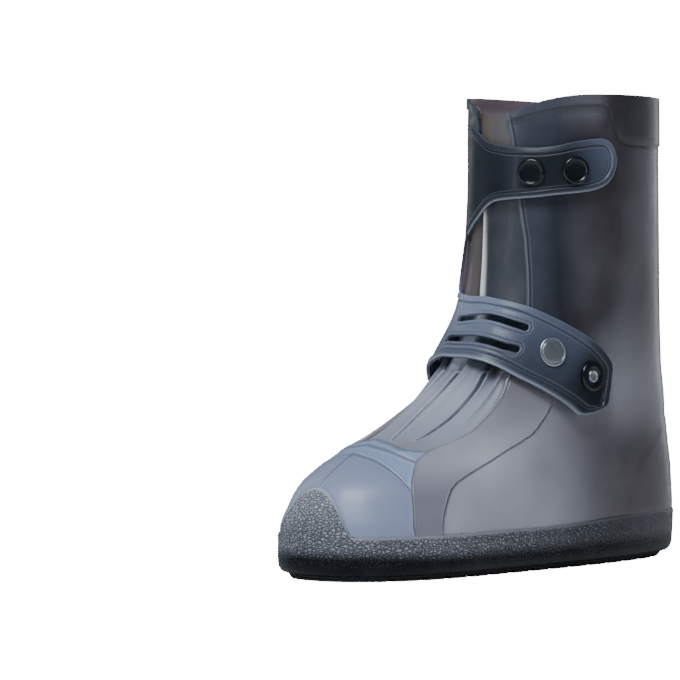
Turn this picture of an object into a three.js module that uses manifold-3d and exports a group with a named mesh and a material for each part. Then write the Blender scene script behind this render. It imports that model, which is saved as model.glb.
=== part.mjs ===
// A high rain shoe cover for a left foot, moulded in smoky translucent rubber and worn over a shoe.
// It has a thin upper with an open front, a pleated gusset behind the opening, two straps that
// cross it and snap shut on the outer side, a moulded sole with a toe bumper, and a tread.
//
// Millimetres. Z is up, the toe points to -Y, and +X is the outer side of the foot.
// The origin lies on the ground, under the tread, at the middle of the instep.
//
// Places on the upper are given as on a flat pattern: s is the distance round the boot at one
// height, from the middle of the front (+ on the outer side, - on the inner side), and z is the
// height. skin(s, z) rolls that pattern up into the boot.

import * as THREE from 'three';
import Module from 'manifold-3d';
import { mergeVertices } from 'three/addons/utils/BufferGeometryUtils.js';
import { TessellateModifier } from 'three/addons/modifiers/TessellateModifier.js';

const wasm = await Module();
wasm.setup();

// Overall sizes.
const BOOT_HEIGHT = 268;
const SOLE_LENGTH = 297;
const SOLE_WIDTH = 106;
const CLEARANCE = 0.3; // between pieces that touch

// The upper.
const WALL = 1.6;
const BAND_HEIGHT = 5.8; // raised band round the rim
const BACK_PATCH_HEIGHT = 27.5; // the band is this deep at the back
const BACK_PATCH_START = 75; // from the middle of the front, round the boot
const BAND_RELIEF = 0.9;
const SADDLE_RELIEF = 0.8;
const TOE_RELIEF = 0.5;
const HEEL_RELIEF = 0.6;
const CORNER_DROP = 16; // the rim falls this much to the front corners of the flaps
const CORNER_REACH = 60; // and starts to fall this far from the middle of the front
const CORNER_ROUND = 2.2; // the fall is steepest at the corner by this power
const BACK_DROP = 4; // the rim at the back lies this much below the sides
const INNER_DROP = 2.5; // the inner side's rim lies this much below the outer one

// The sole and its tread.
const TREAD_THICKNESS = 3;
const TREAD_INSET = 2.5;
const GROOVE_WIDTH = 4;
const GROOVE_DEPTH = 1.6;
const GROOVE_PITCH = 18;
const SOLE_FLOOR = 2.6;
const SOLE_RELIEF = 1.2; // the sole's side stands this much proud of the upper
const SOLE_WALL = 3;
const SIDE_HEIGHT = 25; // top of the sole's side at the arch
const HEEL_LIFT = 2.5; // and how much higher it is at the heel
const SOLE_TOP_LOW = 20; // below the whole of the sole's top edge
const BUMPER_HEIGHT = 51; // top of the toe bumper
const BUMPER_HALF_WIDTH = 28;

// The gusset.
const GUSSET_THICKNESS = 1.2;
const GUSSET_TOP_DROP = 11; // its top edge lies this much below the rim's highest places
const GUSSET_GAP = 1.3; // behind the flaps, which are flat between their facets' edges
const GUSSET_DEPTH = 2.2; // how far it lies behind the inside of the flaps in the opening
const FOLD_HEIGHT = 3.2;
const FOLD_WIDTH = 3;
const FOLD_FADE = 9; // the folds fade over this much beside the opening's edges

// The straps and their snaps.
const STRAP_THICKNESS = 2;
const STRAP_LIP = 0.7; // its raised edge
const STRAP_LIP_WIDTH = 2.8;
const STRAP_GAP = 3.2; // between a strap and the outer flap under it
const TIP_LIFT = 2; // the lower strap's tip stands off this much more
const TIP_LIFT_REACH = 30; // and lifts over this length
const ROOT_REACH = 12; // a strap's end follows the flap's edge over this length
const STRAP_RISE_START = -10; // the straps leave the inner flap's surface here
const STRAP_RISE_END = 22; // and reach their full gap here
const VENT_WIDTH = 4;
const VENT_LENGTH = 47;
const SNAP_RADIUS = 8;
const SNAP_CAP_HEIGHT = 2.5;
const SHANK_RADIUS = 3;
const SOCKET_RADIUS = 5;
const SOCKET_THICKNESS = 1.1;

// Sections of the boot's outer surface at rising heights. level is a share of BOOT_HEIGHT. toe,
// heel and widest are shares of SOLE_LENGTH from the origin, and outer and inner of SOLE_WIDTH.
// nose and seat are how square the front and the back are: 2 is an ellipse.
const SECTIONS = [
  { level: 0.000, toe: 0.478, heel: 0.485, widest: -0.202, outer: 0.462, inner: 0.462, nose: 2.30, seat: 3.30 },
  { level: 0.030, toe: 0.492, heel: 0.504, widest: -0.202, outer: 0.495, inner: 0.495, nose: 2.30, seat: 3.30 },
  { level: 0.104, toe: 0.493, heel: 0.508, widest: -0.195, outer: 0.500, inner: 0.500, nose: 2.25, seat: 3.30 },
  { level: 0.149, toe: 0.481, heel: 0.510, widest: -0.162, outer: 0.491, inner: 0.486, nose: 2.15, seat: 3.20 },
  { level: 0.190, toe: 0.461, heel: 0.510, widest: -0.111, outer: 0.481, inner: 0.472, nose: 2.10, seat: 3.10 },
  { level: 0.231, toe: 0.407, heel: 0.508, widest: -0.047, outer: 0.462, inner: 0.453, nose: 2.00, seat: 3.00 },
  { level: 0.261, toe: 0.352, heel: 0.507, widest: 0.013, outer: 0.443, inner: 0.439, nose: 1.95, seat: 2.90 },
  { level: 0.295, toe: 0.266, heel: 0.503, widest: 0.088, outer: 0.429, inner: 0.425, nose: 1.95, seat: 2.80 },
  { level: 0.343, toe: 0.175, heel: 0.500, widest: 0.155, outer: 0.425, inner: 0.420, nose: 2.00, seat: 2.65 },
  { level: 0.403, toe: 0.101, heel: 0.493, widest: 0.195, outer: 0.425, inner: 0.420, nose: 2.00, seat: 2.45 },
  { level: 0.466, toe: 0.047, heel: 0.487, widest: 0.222, outer: 0.434, inner: 0.429, nose: 2.00, seat: 2.30 },
  { level: 0.560, toe: -0.007, heel: 0.480, widest: 0.246, outer: 0.448, inner: 0.443, nose: 2.00, seat: 2.15 },
  { level: 0.672, toe: -0.034, heel: 0.475, widest: 0.256, outer: 0.462, inner: 0.462, nose: 2.00, seat: 2.05 },
  { level: 0.802, toe: -0.047, heel: 0.470, widest: 0.259, outer: 0.472, inner: 0.472, nose: 2.00, seat: 2.00 },
  { level: 1.000, toe: -0.054, heel: 0.466, widest: 0.259, outer: 0.472, inner: 0.472, nose: 2.00, seat: 2.00 },
];

// The front opening on the flat pattern. level is a share of BOOT_HEIGHT, and outer and inner are
// the distances of its two edges from the middle of the front, as shares of SOLE_WIDTH. The inner
// flap has a hollow under each strap, and the straps grow out of it between the hollows.
const OPENING_EDGES = [
  { level: 0.276, outer: 0.458, inner: 0.458 },
  { level: 0.291, outer: 0.453, inner: 0.460 },
  { level: 0.321, outer: 0.429, inner: 0.472 },
  { level: 0.353, outer: 0.400, inner: 0.525 },
  { level: 0.377, outer: 0.378, inner: 0.538 },
  { level: 0.388, outer: 0.366, inner: 0.528 },
  { level: 0.409, outer: 0.344, inner: 0.486 },
  { level: 0.426, outer: 0.336, inner: 0.413 },
  { level: 0.440, outer: 0.334, inner: 0.340 },
  { level: 0.452, outer: 0.332, inner: 0.332 },
  { level: 0.507, outer: 0.308, inner: 0.335 },
  { level: 0.545, outer: 0.278, inner: 0.318 },
  { level: 0.575, outer: 0.258, inner: 0.280 },
  { level: 0.590, outer: 0.250, inner: 0.283 },
  { level: 0.617, outer: 0.236, inner: 0.284 },
  { level: 0.648, outer: 0.221, inner: 0.266 },
  { level: 0.679, outer: 0.207, inner: 0.244 },
  { level: 0.710, outer: 0.190, inner: 0.206 },
  { level: 0.738, outer: 0.173, inner: 0.144 },
  { level: 0.761, outer: 0.161, inner: 0.136 },
  { level: 0.903, outer: 0.106, inner: 0.128 },
  { level: 1.000, outer: 0.058, inner: 0.123 },
];
// The seam at the bottom of the opening: s as a share of SOLE_WIDTH, level as a share of BOOT_HEIGHT.
const OPENING_SEAM = [
  { across: 0.440, level: 0.262 },
  { across: 0.190, level: 0.270 },
  { across: 0.000, level: 0.282 },
  { across: -0.190, level: 0.270 },
  { across: -0.440, level: 0.262 },
];

// Raised panels of the upper. Distances round the boot are shares of SOLE_WIDTH.
// The saddle runs from the sole up along the opening, on both sides: its front and rear edges.
const SADDLE = [
  { level: 0.075, front: 0.620, rear: 0.800 },
  { level: 0.155, front: 0.560, rear: 0.770 },
  { level: 0.190, front: 0.510, rear: 0.770 },
  { level: 0.216, front: 0.450, rear: 0.825 },
  { level: 0.243, front: 0.400, rear: 0.890 },
  { level: 0.258, front: 0.400, rear: 0.915 },
  { level: 0.276, front: 0.400, rear: 0.920 },
  { level: 0.315, front: 0.330, rear: 0.845 },
  { level: 0.362, front: 0.330, rear: 0.755 },
  { level: 0.430, front: 0.250, rear: 0.670 },
  { level: 0.586, front: 0.150, rear: 0.465 },
  { level: 0.690, front: 0.100, rear: 0.400 },
  { level: 0.930, front: 0.050, rear: 0.370 },
];
// The toe cap's upper edge, from the middle of the front to the sole.
const TOE_CAP = [
  { across: 0.000, level: 0.258 },
  { across: 0.198, level: 0.243 },
  { across: 0.377, level: 0.216 },
  { across: 0.480, level: 0.190 },
  { across: 0.530, level: 0.160 },
];
// The heel counter: how far it reaches from the middle of the back, as a share of half the girth.
const HEEL_COUNTER = [
  { level: 0.075, reach: 0.285 },
  { level: 0.170, reach: 0.274 },
  { level: 0.216, reach: 0.245 },
  { level: 0.261, reach: 0.190 },
  { level: 0.295, reach: 0.134 },
  { level: 0.325, reach: 0.050 },
];

// Folds of the gusset: where each one lies across the front, as a share of SOLE_WIDTH, at the
// levels of FOLD_LEVELS. height is a share of FOLD_HEIGHT, and below 0 is a groove.
const FOLD_LEVELS = [0.276, 0.328, 0.373, 0.418, 0.578, 0.672, 0.765, 1.0];
const FOLDS = [
  { across: [-0.150, -0.170, -0.170, -0.151, -0.094, -0.090, -0.090, -0.090], height: -1.0 },
  { across: [0.019, -0.028, -0.066, -0.047, -0.038, -0.042, -0.047, -0.047], height: 0.9 },
  { across: [0.085, 0.052, 0.038, 0.033, 0.000, -0.009, -0.009, -0.009], height: -0.9 },
  { across: [0.132, 0.189, 0.189, 0.198, 0.236, 0.226, 0.179, 0.100], height: -1.0 },
  { across: [0.226, 0.292, 0.302, 0.302, 0.330, 0.330, 0.300, 0.250], height: 0.8 },
];

// The straps on the flat pattern: s as a share of SOLE_WIDTH, and the two edges' heights there as
// shares of BOOT_HEIGHT. The last row is where the tip would end if it were square.
const UPPER_STRAP = {
  tipRound: 12,
  rows: [
    { s: -0.145, top: 0.907, bottom: 0.736 },
    { s: -0.057, top: 0.896, bottom: 0.761 },
    { s: 0.050, top: 0.890, bottom: 0.776 },
    { s: 0.169, top: 0.887, bottom: 0.782 },
    { s: 0.358, top: 0.890, bottom: 0.788 },
    { s: 0.525, top: 0.902, bottom: 0.797 },
    { s: 0.675, top: 0.912, bottom: 0.806 },
  ],
};
const LOWER_STRAP = {
  tipRound: 22,
  rows: [
    { s: -0.335, top: 0.576, bottom: 0.440 },
    { s: -0.230, top: 0.571, bottom: 0.444 },
    { s: -0.120, top: 0.571, bottom: 0.442 },
    { s: 0.000, top: 0.571, bottom: 0.441 },
    { s: 0.151, top: 0.560, bottom: 0.431 },
    { s: 0.302, top: 0.544, bottom: 0.413 },
    { s: 0.557, top: 0.505, bottom: 0.379 },
    { s: 0.820, top: 0.460, bottom: 0.347 },
    { s: 0.970, top: 0.427, bottom: 0.328 },
    { s: 1.180, top: 0.347, bottom: 0.306 },
  ],
};
const VENTS = [{ s: 0.097, level: 0.514, slope: -0.140 }, { s: 0.097, level: 0.469, slope: -0.140 }];
const SNAPS = [
  { name: 'upper_snap_front', s: 0.226, level: 0.834, finish: 'snap_black' },
  { name: 'upper_snap_rear', s: 0.442, level: 0.838, finish: 'snap_black' },
  { name: 'lower_snap_front', s: 0.504, level: 0.453, finish: 'snap_steel' },
  { name: 'lower_snap_rear', s: 0.866, level: 0.402, finish: 'snap_black' },
];

// A smooth curve through the knots that never overshoots between two of them.
function smoothThrough(knots, values) {
  const last = knots.length - 1;
  const slopes = values.slice(1).map((v, i) => (v - values[i]) / (knots[i + 1] - knots[i]));
  const tangents = values.map((_, i) => {
    if (i === 0 || i === last) return slopes[i === 0 ? 0 : last - 1];
    const [a, b] = [slopes[i - 1], slopes[i]];
    return a * b <= 0 ? 0 : (2 * a * b) / (a + b);
  });
  return (x) => {
    const at = Math.min(Math.max(x, knots[0]), knots[last]);
    let i = 0;
    while (i < last - 1 && at > knots[i + 1]) i++;
    const step = knots[i + 1] - knots[i];
    const t = (at - knots[i]) / step;
    const rise = (3 - 2 * t) * t * t;
    return values[i] * (1 - rise) + values[i + 1] * rise
      + step * t * (1 - t) * ((1 - t) * tangents[i] - t * tangents[i + 1]);
  };
}

const smoothstep = (x, low, high) => THREE.MathUtils.smoothstep(x, low, high);
const column = (rows, key) => rows.map((row) => row[key]);
const levels = column(SECTIONS, 'level');
const sectionColumn = Object.fromEntries(
  ['toe', 'heel', 'widest', 'outer', 'inner', 'nose', 'seat'].map((key) => [key, smoothThrough(levels, column(SECTIONS, key))]),
);

// One half of the section at height z, from the middle of the front to the middle of the back.
const SECTION_STEPS = 120;
const halves = new Map();
function halfSection(z, outer) {
  const key = `${z.toFixed(3)} ${outer}`;
  if (halves.has(key)) return halves.get(key);
  const at = (name) => sectionColumn[name](z / BOOT_HEIGHT);
  const front = -at('toe') * SOLE_LENGTH;
  const back = at('heel') * SOLE_LENGTH;
  const widest = at('widest') * SOLE_LENGTH;
  const width = (outer ? at('outer') : at('inner')) * SOLE_WIDTH;
  const points = [];
  for (let i = 0; i <= 2 * SECTION_STEPS; i++) {
    const angle = (i / SECTION_STEPS) * (Math.PI / 2);
    const ahead = i <= SECTION_STEPS;
    const power = 2 / (ahead ? at('nose') : at('seat'));
    const reach = ahead ? front - widest : back - widest;
    const x = width * Math.abs(Math.sin(angle)) ** power;
    const y = widest + reach * Math.abs(Math.cos(angle)) ** power;
    points.push([outer ? x : -x, y]);
  }
  const lengths = [0];
  for (let i = 1; i < points.length; i++) {
    lengths.push(lengths[i - 1] + Math.hypot(points[i][0] - points[i - 1][0], points[i][1] - points[i - 1][1]));
  }
  const half = { points, lengths, girth: lengths[lengths.length - 1] };
  halves.set(key, half);
  return half;
}

// The same place named from the other side, where s runs on past the middle of the back.
function wrapPastBack(s, z) {
  const over = Math.abs(s) - halfSection(z, s >= 0).girth;
  return over > 0 ? -Math.sign(s) * (halfSection(z, s < 0).girth - over) : s;
}

// The point of the boot's outer surface at s and z.
function skin(place, z) {
  const s = wrapPastBack(place, z);
  const { points, lengths } = halfSection(z, s >= 0);
  const along = Math.abs(s);
  let low = 0;
  let high = lengths.length - 1;
  while (high - low > 1) {
    const middle = (low + high) >> 1;
    if (lengths[middle] > along) high = middle;
    else low = middle;
  }
  const t = (along - lengths[low]) / (lengths[high] - lengths[low]);
  const x = points[low][0] + t * (points[high][0] - points[low][0]);
  const y = points[low][1] + t * (points[high][1] - points[low][1]);
  return new THREE.Vector3(x, y, z);
}

const NORMAL_STEP = 0.8;
function skinNormal(place, z) {
  const s = wrapPastBack(place, z);
  const { girth } = halfSection(z, s >= 0);
  const low = Math.max(z - NORMAL_STEP, 0);
  const high = Math.min(z + NORMAL_STEP, BOOT_HEIGHT);
  const share = s / girth;
  const across = skin(s + NORMAL_STEP, z).sub(skin(s - NORMAL_STEP, z));
  const up = skin(share * halfSection(high, s >= 0).girth, high).sub(skin(share * halfSection(low, s >= 0).girth, low));
  return across.cross(up).normalize();
}

// The point that lies off the outer surface by a distance, outwards.
function lifted(s, z, off) {
  const inside = Math.min(Math.max(z, 0), BOOT_HEIGHT);
  const point = skin(s, inside).addScaledVector(skinNormal(s, inside), off);
  point.z += z - inside;
  return point;
}

// turn goes round a section: 0 at the front, 1 at the back, 2 at the front again, outer side first.
const atTurn = (turn, z) => (turn <= 1 ? turn * halfSection(z, true).girth : -(2 - turn) * halfSection(z, false).girth);

// Columns round the boot, closer together at the toe and the heel.
const COLUMNS_A_SIDE = 24;
const CROWDING = 0.45;
const turns = [];
for (let i = 0; i < 2 * COLUMNS_A_SIDE; i++) {
  const share = (i <= COLUMNS_A_SIDE ? i : 2 * COLUMNS_A_SIDE - i) / COLUMNS_A_SIDE;
  const eased = share - (CROWDING * Math.sin(2 * Math.PI * share)) / (2 * Math.PI);
  turns.push(i <= COLUMNS_A_SIDE ? eased : 2 - eased);
}

// Height of the rim, of the rim band's lower edge and of the sole's top edge in a column.
function rimHeight(turn) {
  const s = Math.abs(atTurn(turn, BOOT_HEIGHT));
  const girth = halfSection(BOOT_HEIGHT, turn <= 1).girth;
  const corner = CORNER_DROP * (1 - Math.min(s / CORNER_REACH, 1)) ** CORNER_ROUND;
  const back = BACK_DROP * smoothstep(s, CORNER_REACH, girth);
  const low = smoothstep(s, 0, CORNER_REACH) * (1 - smoothstep(s, girth - CORNER_REACH, girth));
  return BOOT_HEIGHT - corner - back - (turn > 1 ? INNER_DROP * low : 0);
}
function bandHeight(turn) {
  const s = Math.abs(atTurn(turn, BOOT_HEIGHT));
  const deep = smoothstep(s, BACK_PATCH_START - 8, BACK_PATCH_START + 8);
  return rimHeight(turn) - BAND_HEIGHT - (BACK_PATCH_HEIGHT - BAND_HEIGHT) * deep;
}
function soleTop(turn) {
  const s = Math.abs(atTurn(turn, SIDE_HEIGHT));
  const share = Math.min(s / BUMPER_HALF_WIDTH, 1);
  const side = SIDE_HEIGHT + HEEL_LIFT * smoothstep(s / halfSection(SIDE_HEIGHT, turn <= 1).girth, 0.5, 0.75);
  return side + (BUMPER_HEIGHT - SIDE_HEIGHT) * (1 - share * share) ** 1.2;
}

// A ring of points round the boot: height(turn) and off(turn) place each column.
const ring = (height, off) => turns.map((turn) => {
  const z = height(turn);
  return lifted(atTurn(turn, Math.min(Math.max(z, 0), BOOT_HEIGHT)), z, off(turn));
});

const flatRing = (z, off) => ring(() => z, () => off).map((p) => p.setZ(z));

// A closed body from rings: up the outside, over the rim and down the inside. Both ends are fans.
function bodyFromRings(rings) {
  const count = rings[0].length;
  const positions = rings.flat().flatMap((p) => [p.x, p.y, p.z]);
  const faces = [];
  rings.slice(1).forEach((_, r) => {
    for (let i = 0; i < count; i++) {
      const next = (i + 1) % count;
      const [a, b, c, d] = [r * count + i, r * count + next, (r + 1) * count + next, (r + 1) * count + i];
      const flip = rings[r][i].distanceTo(rings[r + 1][next]) > rings[r][next].distanceTo(rings[r + 1][i]);
      faces.push(...(flip ? [a, b, d, b, c, d] : [a, b, c, a, c, d]));
    }
  });
  const closeWith = (r, reverse) => {
    const z = rings[r][0].z;
    const centre = positions.length / 3;
    positions.push(0, 0, z);
    for (let i = 0; i < count; i++) {
      const pair = [r * count + i, r * count + (i + 1) % count];
      faces.push(centre, ...(reverse ? pair.reverse() : pair));
    }
  };
  closeWith(0, true);
  closeWith(rings.length - 1, false);
  return geometryFrom(positions, faces);
}

// A closed band from rings: round its section and back to the first ring.
function tubeFromRings(rings) {
  const count = rings[0].length;
  const faces = [];
  rings.forEach((here, r) => {
    const above = (r + 1) % rings.length;
    for (let i = 0; i < count; i++) {
      const next = (i + 1) % count;
      const [a, b, c, d] = [r * count + i, r * count + next, above * count + next, above * count + i];
      const flip = here[i].distanceTo(rings[above][next]) > here[next].distanceTo(rings[above][i]);
      faces.push(...(flip ? [a, b, d, b, c, d] : [a, b, c, a, c, d]));
    }
  });
  return geometryFrom(rings.flat().flatMap((p) => [p.x, p.y, p.z]), faces);
}

function geometryFrom(positions, faces) {
  const geometry = new THREE.BufferGeometry();
  geometry.setAttribute('position', new THREE.Float32BufferAttribute(positions, 3));
  geometry.setIndex(faces);
  return geometry;
}

// Geometry to a solid for cutting and joining, and back.
function solidFrom(geometry) {
  const bare = new THREE.BufferGeometry();
  bare.setAttribute('position', geometry.getAttribute('position'));
  if (geometry.index) bare.setIndex(geometry.index);
  const merged = mergeVertices(bare, 1e-3);
  return new wasm.Manifold(new wasm.Mesh({
    numProp: 3,
    vertProperties: new Float32Array(merged.attributes.position.array),
    triVerts: new Uint32Array(merged.index.array),
  }));
}
function geometryOf(solid) {
  const mesh = solid.getMesh();
  const positions = [];
  for (let i = 0; i < mesh.numVert; i++) {
    positions.push(...mesh.vertProperties.subarray(i * mesh.numProp, i * mesh.numProp + 3));
  }
  return geometryFrom(positions, Array.from(mesh.triVerts));
}

// Wraps a flat shape on the boot. inner and outer give how far its two faces lie off the skin.
function wrapped(shape, inner, outer, longest) {
  const flat = new THREE.ExtrudeGeometry(shape, { depth: 1, bevelEnabled: false, curveSegments: 3 });
  const fine = new TessellateModifier(longest, 10).modify(flat);
  const place = fine.getAttribute('position');
  for (let i = 0; i < place.count; i++) {
    const s = place.getX(i);
    const z = place.getY(i);
    const off = THREE.MathUtils.lerp(inner(s, z), outer(s, z), Math.round(place.getZ(i)));
    const point = lifted(s, z, off);
    place.setXYZ(i, point.x, point.y, point.z);
  }
  return fine;
}

// Points of a smooth line on the flat pattern, from shares of SOLE_WIDTH and BOOT_HEIGHT.
const onPattern = ([s, level]) => new THREE.Vector2(s * SOLE_WIDTH, level * BOOT_HEIGHT);
function smoothLine(knots, steps) {
  return new THREE.SplineCurve(knots.map(onPattern)).getPoints(steps);
}

const openingOuter = smoothThrough(column(OPENING_EDGES, 'level'), column(OPENING_EDGES, 'outer'));
const openingInner = smoothThrough(column(OPENING_EDGES, 'level'), column(OPENING_EDGES, 'inner'));
const outerEdge = (z) => openingOuter(z / BOOT_HEIGHT) * SOLE_WIDTH;
const innerEdge = (z) => -openingInner(z / BOOT_HEIGHT) * SOLE_WIDTH;

// The whole outline of the front opening. It runs past the rim, so that the cut is open there.
function openingShape() {
  const heights = column(OPENING_EDGES, 'level').map((level) => level * BOOT_HEIGHT);
  const all = [...heights, BOOT_HEIGHT + 4];
  const up = all.map((z) => new THREE.Vector2(outerEdge(z), z));
  const down = all.reverse().map((z) => new THREE.Vector2(innerEdge(z), z));
  const seam = smoothLine(OPENING_SEAM.map((knot) => [knot.across, knot.level]), 12).reverse();
  return new THREE.Shape([...up, ...down, ...seam]);
}

// Outer rings of the upper, grown by a gap. Below the top of the sole they step in, so that the
// upper sits in the sole.
const UPPER_FLOOR = TREAD_THICKNESS + SOLE_FLOOR + 2 * CLEARANCE;
const UPPER_INSET = SOLE_RELIEF - SOLE_WALL - CLEARANCE;
const LEDGE = 1.5;
const FLOOR_CORNER = 3;
const OUTSIDE_SHARES = [0, 0.035, 0.065, 0.095, 0.125, 0.155, 0.185, 0.22, 0.265, 0.32, 0.39, 0.48, 0.62, 0.8, 1];
const INSIDE_SHARES = OUTSIDE_SHARES.filter((_, i) => i % 2 === 0 && i < 13).reverse();
function upperHeight(turn, share) {
  const low = soleTop(turn) + 4;
  return low + share * (bandHeight(turn) - BAND_RELIEF - low);
}
function upperOutside(gap) {
  return [
    ring(() => UPPER_FLOOR - gap, () => UPPER_INSET - FLOOR_CORNER + gap),
    ring(() => UPPER_FLOOR + FLOOR_CORNER - gap, () => UPPER_INSET + gap),
    ring((turn) => soleTop(turn) - LEDGE - gap, () => UPPER_INSET + gap),
    ring((turn) => soleTop(turn) - gap, () => gap),
    ...OUTSIDE_SHARES.map((share) => ring((turn) => upperHeight(turn, share), () => gap)),
    ring(bandHeight, () => BAND_RELIEF + gap),
    ring((turn) => rimHeight(turn) - BAND_RELIEF, () => BAND_RELIEF + gap),
    ring(rimHeight, () => gap),
  ];
}

// A closed sheet from a grid of places: place(i, j, face) is a point of its outer (1) or inner (0)
// face, with i across and j up.
function sheetFrom(columns, rows, place) {
  const wide = columns + 1;
  const back = wide * (rows + 1);
  const positions = [];
  for (const face of [1, 0]) {
    for (let j = 0; j <= rows; j++) {
      for (let i = 0; i <= columns; i++) {
        const point = place(i, j, face);
        positions.push(point.x, point.y, point.z);
      }
    }
  }
  const faces = [];
  const quad = (a, b, c, d) => faces.push(a, b, c, a, c, d);
  for (let j = 0; j < rows; j++) {
    for (let i = 0; i < columns; i++) {
      const a = j * wide + i;
      quad(a, a + 1, a + wide + 1, a + wide);
      quad(back + a, back + a + wide, back + a + wide + 1, back + a + 1);
    }
    const left = j * wide;
    const right = left + columns;
    quad(left, left + wide, back + left + wide, back + left);
    quad(right, back + right, back + right + wide, right + wide);
  }
  for (let i = 0; i < columns; i++) {
    const top = rows * wide + i;
    quad(i, back + i, back + i + 1, i + 1);
    quad(top, top + 1, back + top + 1, back + top);
  }
  return geometryFrom(positions, faces);
}

// A raised panel of the upper: a shell just over the skin, with the same facets, cut to an outline
// on the flat pattern.
const PANEL_ROOT = WALL / 2;
function raisedPanel(outline, relief) {
  const heights = [soleTop, ...OUTSIDE_SHARES.map((share) => (turn) => upperHeight(turn, share))];
  heights[0] = (turn) => soleTop(turn) + 2 * CLEARANCE;
  const outer = heights.map((height) => ring(height, () => relief));
  const inner = heights.map((height) => ring(height, () => -PANEL_ROOT)).reverse();
  const around = solidFrom(tubeFromRings([...outer, ...inner]));
  return around.intersect(solidFrom(wrapped(new THREE.Shape(outline), () => -WALL * 0.8, () => 4, 12)));
}
const steps = (count) => Array.from({ length: count + 1 }, (_, i) => i / count);
const lookup = (rows, key, value) => smoothThrough(column(rows, key), column(rows, value));

function saddleOutline(side) {
  const front = lookup(SADDLE, 'level', 'front');
  const rear = lookup(SADDLE, 'level', 'rear');
  const [low, high] = [SADDLE[0].level, SADDLE[SADDLE.length - 1].level];
  const along = steps(16).map((up) => low + (high - low) * up ** 1.3);
  const edge = (at) => along.map((level) => new THREE.Vector2(side * at(level) * SOLE_WIDTH, level * BOOT_HEIGHT));
  const outline = [...edge(rear), ...edge(front).reverse()];
  return side > 0 ? outline : outline.reverse();
}
function toeOutline() {
  const top = lookup(TOE_CAP, 'across', 'level');
  const reach = TOE_CAP[TOE_CAP.length - 1].across;
  const arc = steps(16).map((share) => (1 - 2 * share) * reach);
  const corner = (side) => new THREE.Vector2(side * 1.2 * reach * SOLE_WIDTH, SOLE_TOP_LOW);
  return [corner(1), ...arc.map((across) => onPattern([across, top(Math.abs(across))])), corner(-1)];
}
function heelOutline() {
  const reach = lookup(HEEL_COUNTER, 'level', 'reach');
  const [low, high] = [HEEL_COUNTER[0].level, HEEL_COUNTER[HEEL_COUNTER.length - 1].level];
  const along = steps(8).map((up) => low + (high - low) * up);
  const edge = (side) => along.map((level) => {
    const z = level * BOOT_HEIGHT;
    return new THREE.Vector2((1 + side * reach(level)) * halfSection(z, true).girth, z);
  });
  return [...edge(1), ...edge(-1).reverse()];
}

function makeUpper() {
  const inside = [
    ring(rimHeight, () => -WALL),
    ...INSIDE_SHARES.map((share) => ring((turn) => upperHeight(turn, share), () => -WALL)),
    ring((turn) => soleTop(turn) - LEDGE - WALL, () => UPPER_INSET - WALL),
    ring(() => UPPER_FLOOR + WALL + FLOOR_CORNER, () => UPPER_INSET - WALL),
    ring(() => UPPER_FLOOR + WALL, () => UPPER_INSET - WALL - FLOOR_CORNER),
  ];
  const shell = solidFrom(bodyFromRings([...upperOutside(0), ...inside]));
  const panels = [
    raisedPanel(toeOutline(), TOE_RELIEF),
    raisedPanel(heelOutline(), HEEL_RELIEF),
    raisedPanel(saddleOutline(1), SADDLE_RELIEF),
    raisedPanel(saddleOutline(-1), SADDLE_RELIEF),
  ];
  const through = wrapped(openingShape(), () => -WALL - 4, () => 4, 12);
  return geometryOf(panels.reduce((sum, raised) => sum.add(raised), shell).subtract(solidFrom(through)));
}

// The sole is solid outside the upper, which fits into it with a gap.
const SOLE_ROUND = 4;
const LIP_ROUND = 1;
function makeSole() {
  const bottom = TREAD_THICKNESS + CLEARANCE;
  const wall = (share) => ring(
    (turn) => bottom + SOLE_ROUND + share * (soleTop(turn) - bottom - SOLE_ROUND - LIP_ROUND),
    () => SOLE_RELIEF,
  );
  const block = bodyFromRings([
    flatRing(bottom, SOLE_RELIEF - SOLE_ROUND),
    ring(() => bottom + SOLE_ROUND * 0.3, () => SOLE_RELIEF - SOLE_ROUND * 0.3),
    ...[0, 0.5, 1].map(wall),
    ring((turn) => soleTop(turn) - CLEARANCE, () => SOLE_RELIEF - LIP_ROUND / 2),
  ]);
  return geometryOf(solidFrom(block).subtract(solidFrom(bodyFromRings(upperOutside(CLEARANCE)))));
}

// The tread: a plate under the sole with grooves across it, but for a rib along the middle.
function makeTread() {
  const rib = 12;
  const reach = SOLE_WIDTH;
  let tread = solidFrom(bodyFromRings([flatRing(0, -TREAD_INSET), flatRing(TREAD_THICKNESS, -TREAD_INSET)]));
  const grooves = Math.floor((SOLE_LENGTH / 2 - GROOVE_PITCH) / GROOVE_PITCH);
  for (let i = -grooves; i <= grooves; i++) {
    for (const side of [-1, 1]) {
      const groove = new THREE.BoxGeometry(reach, GROOVE_WIDTH, 2 * GROOVE_DEPTH);
      groove.translate(side * (rib + reach / 2), i * GROOVE_PITCH + GROOVE_PITCH / 2, 0);
      tread = tread.subtract(solidFrom(groove));
    }
  }
  return geometryOf(tread);
}

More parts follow.
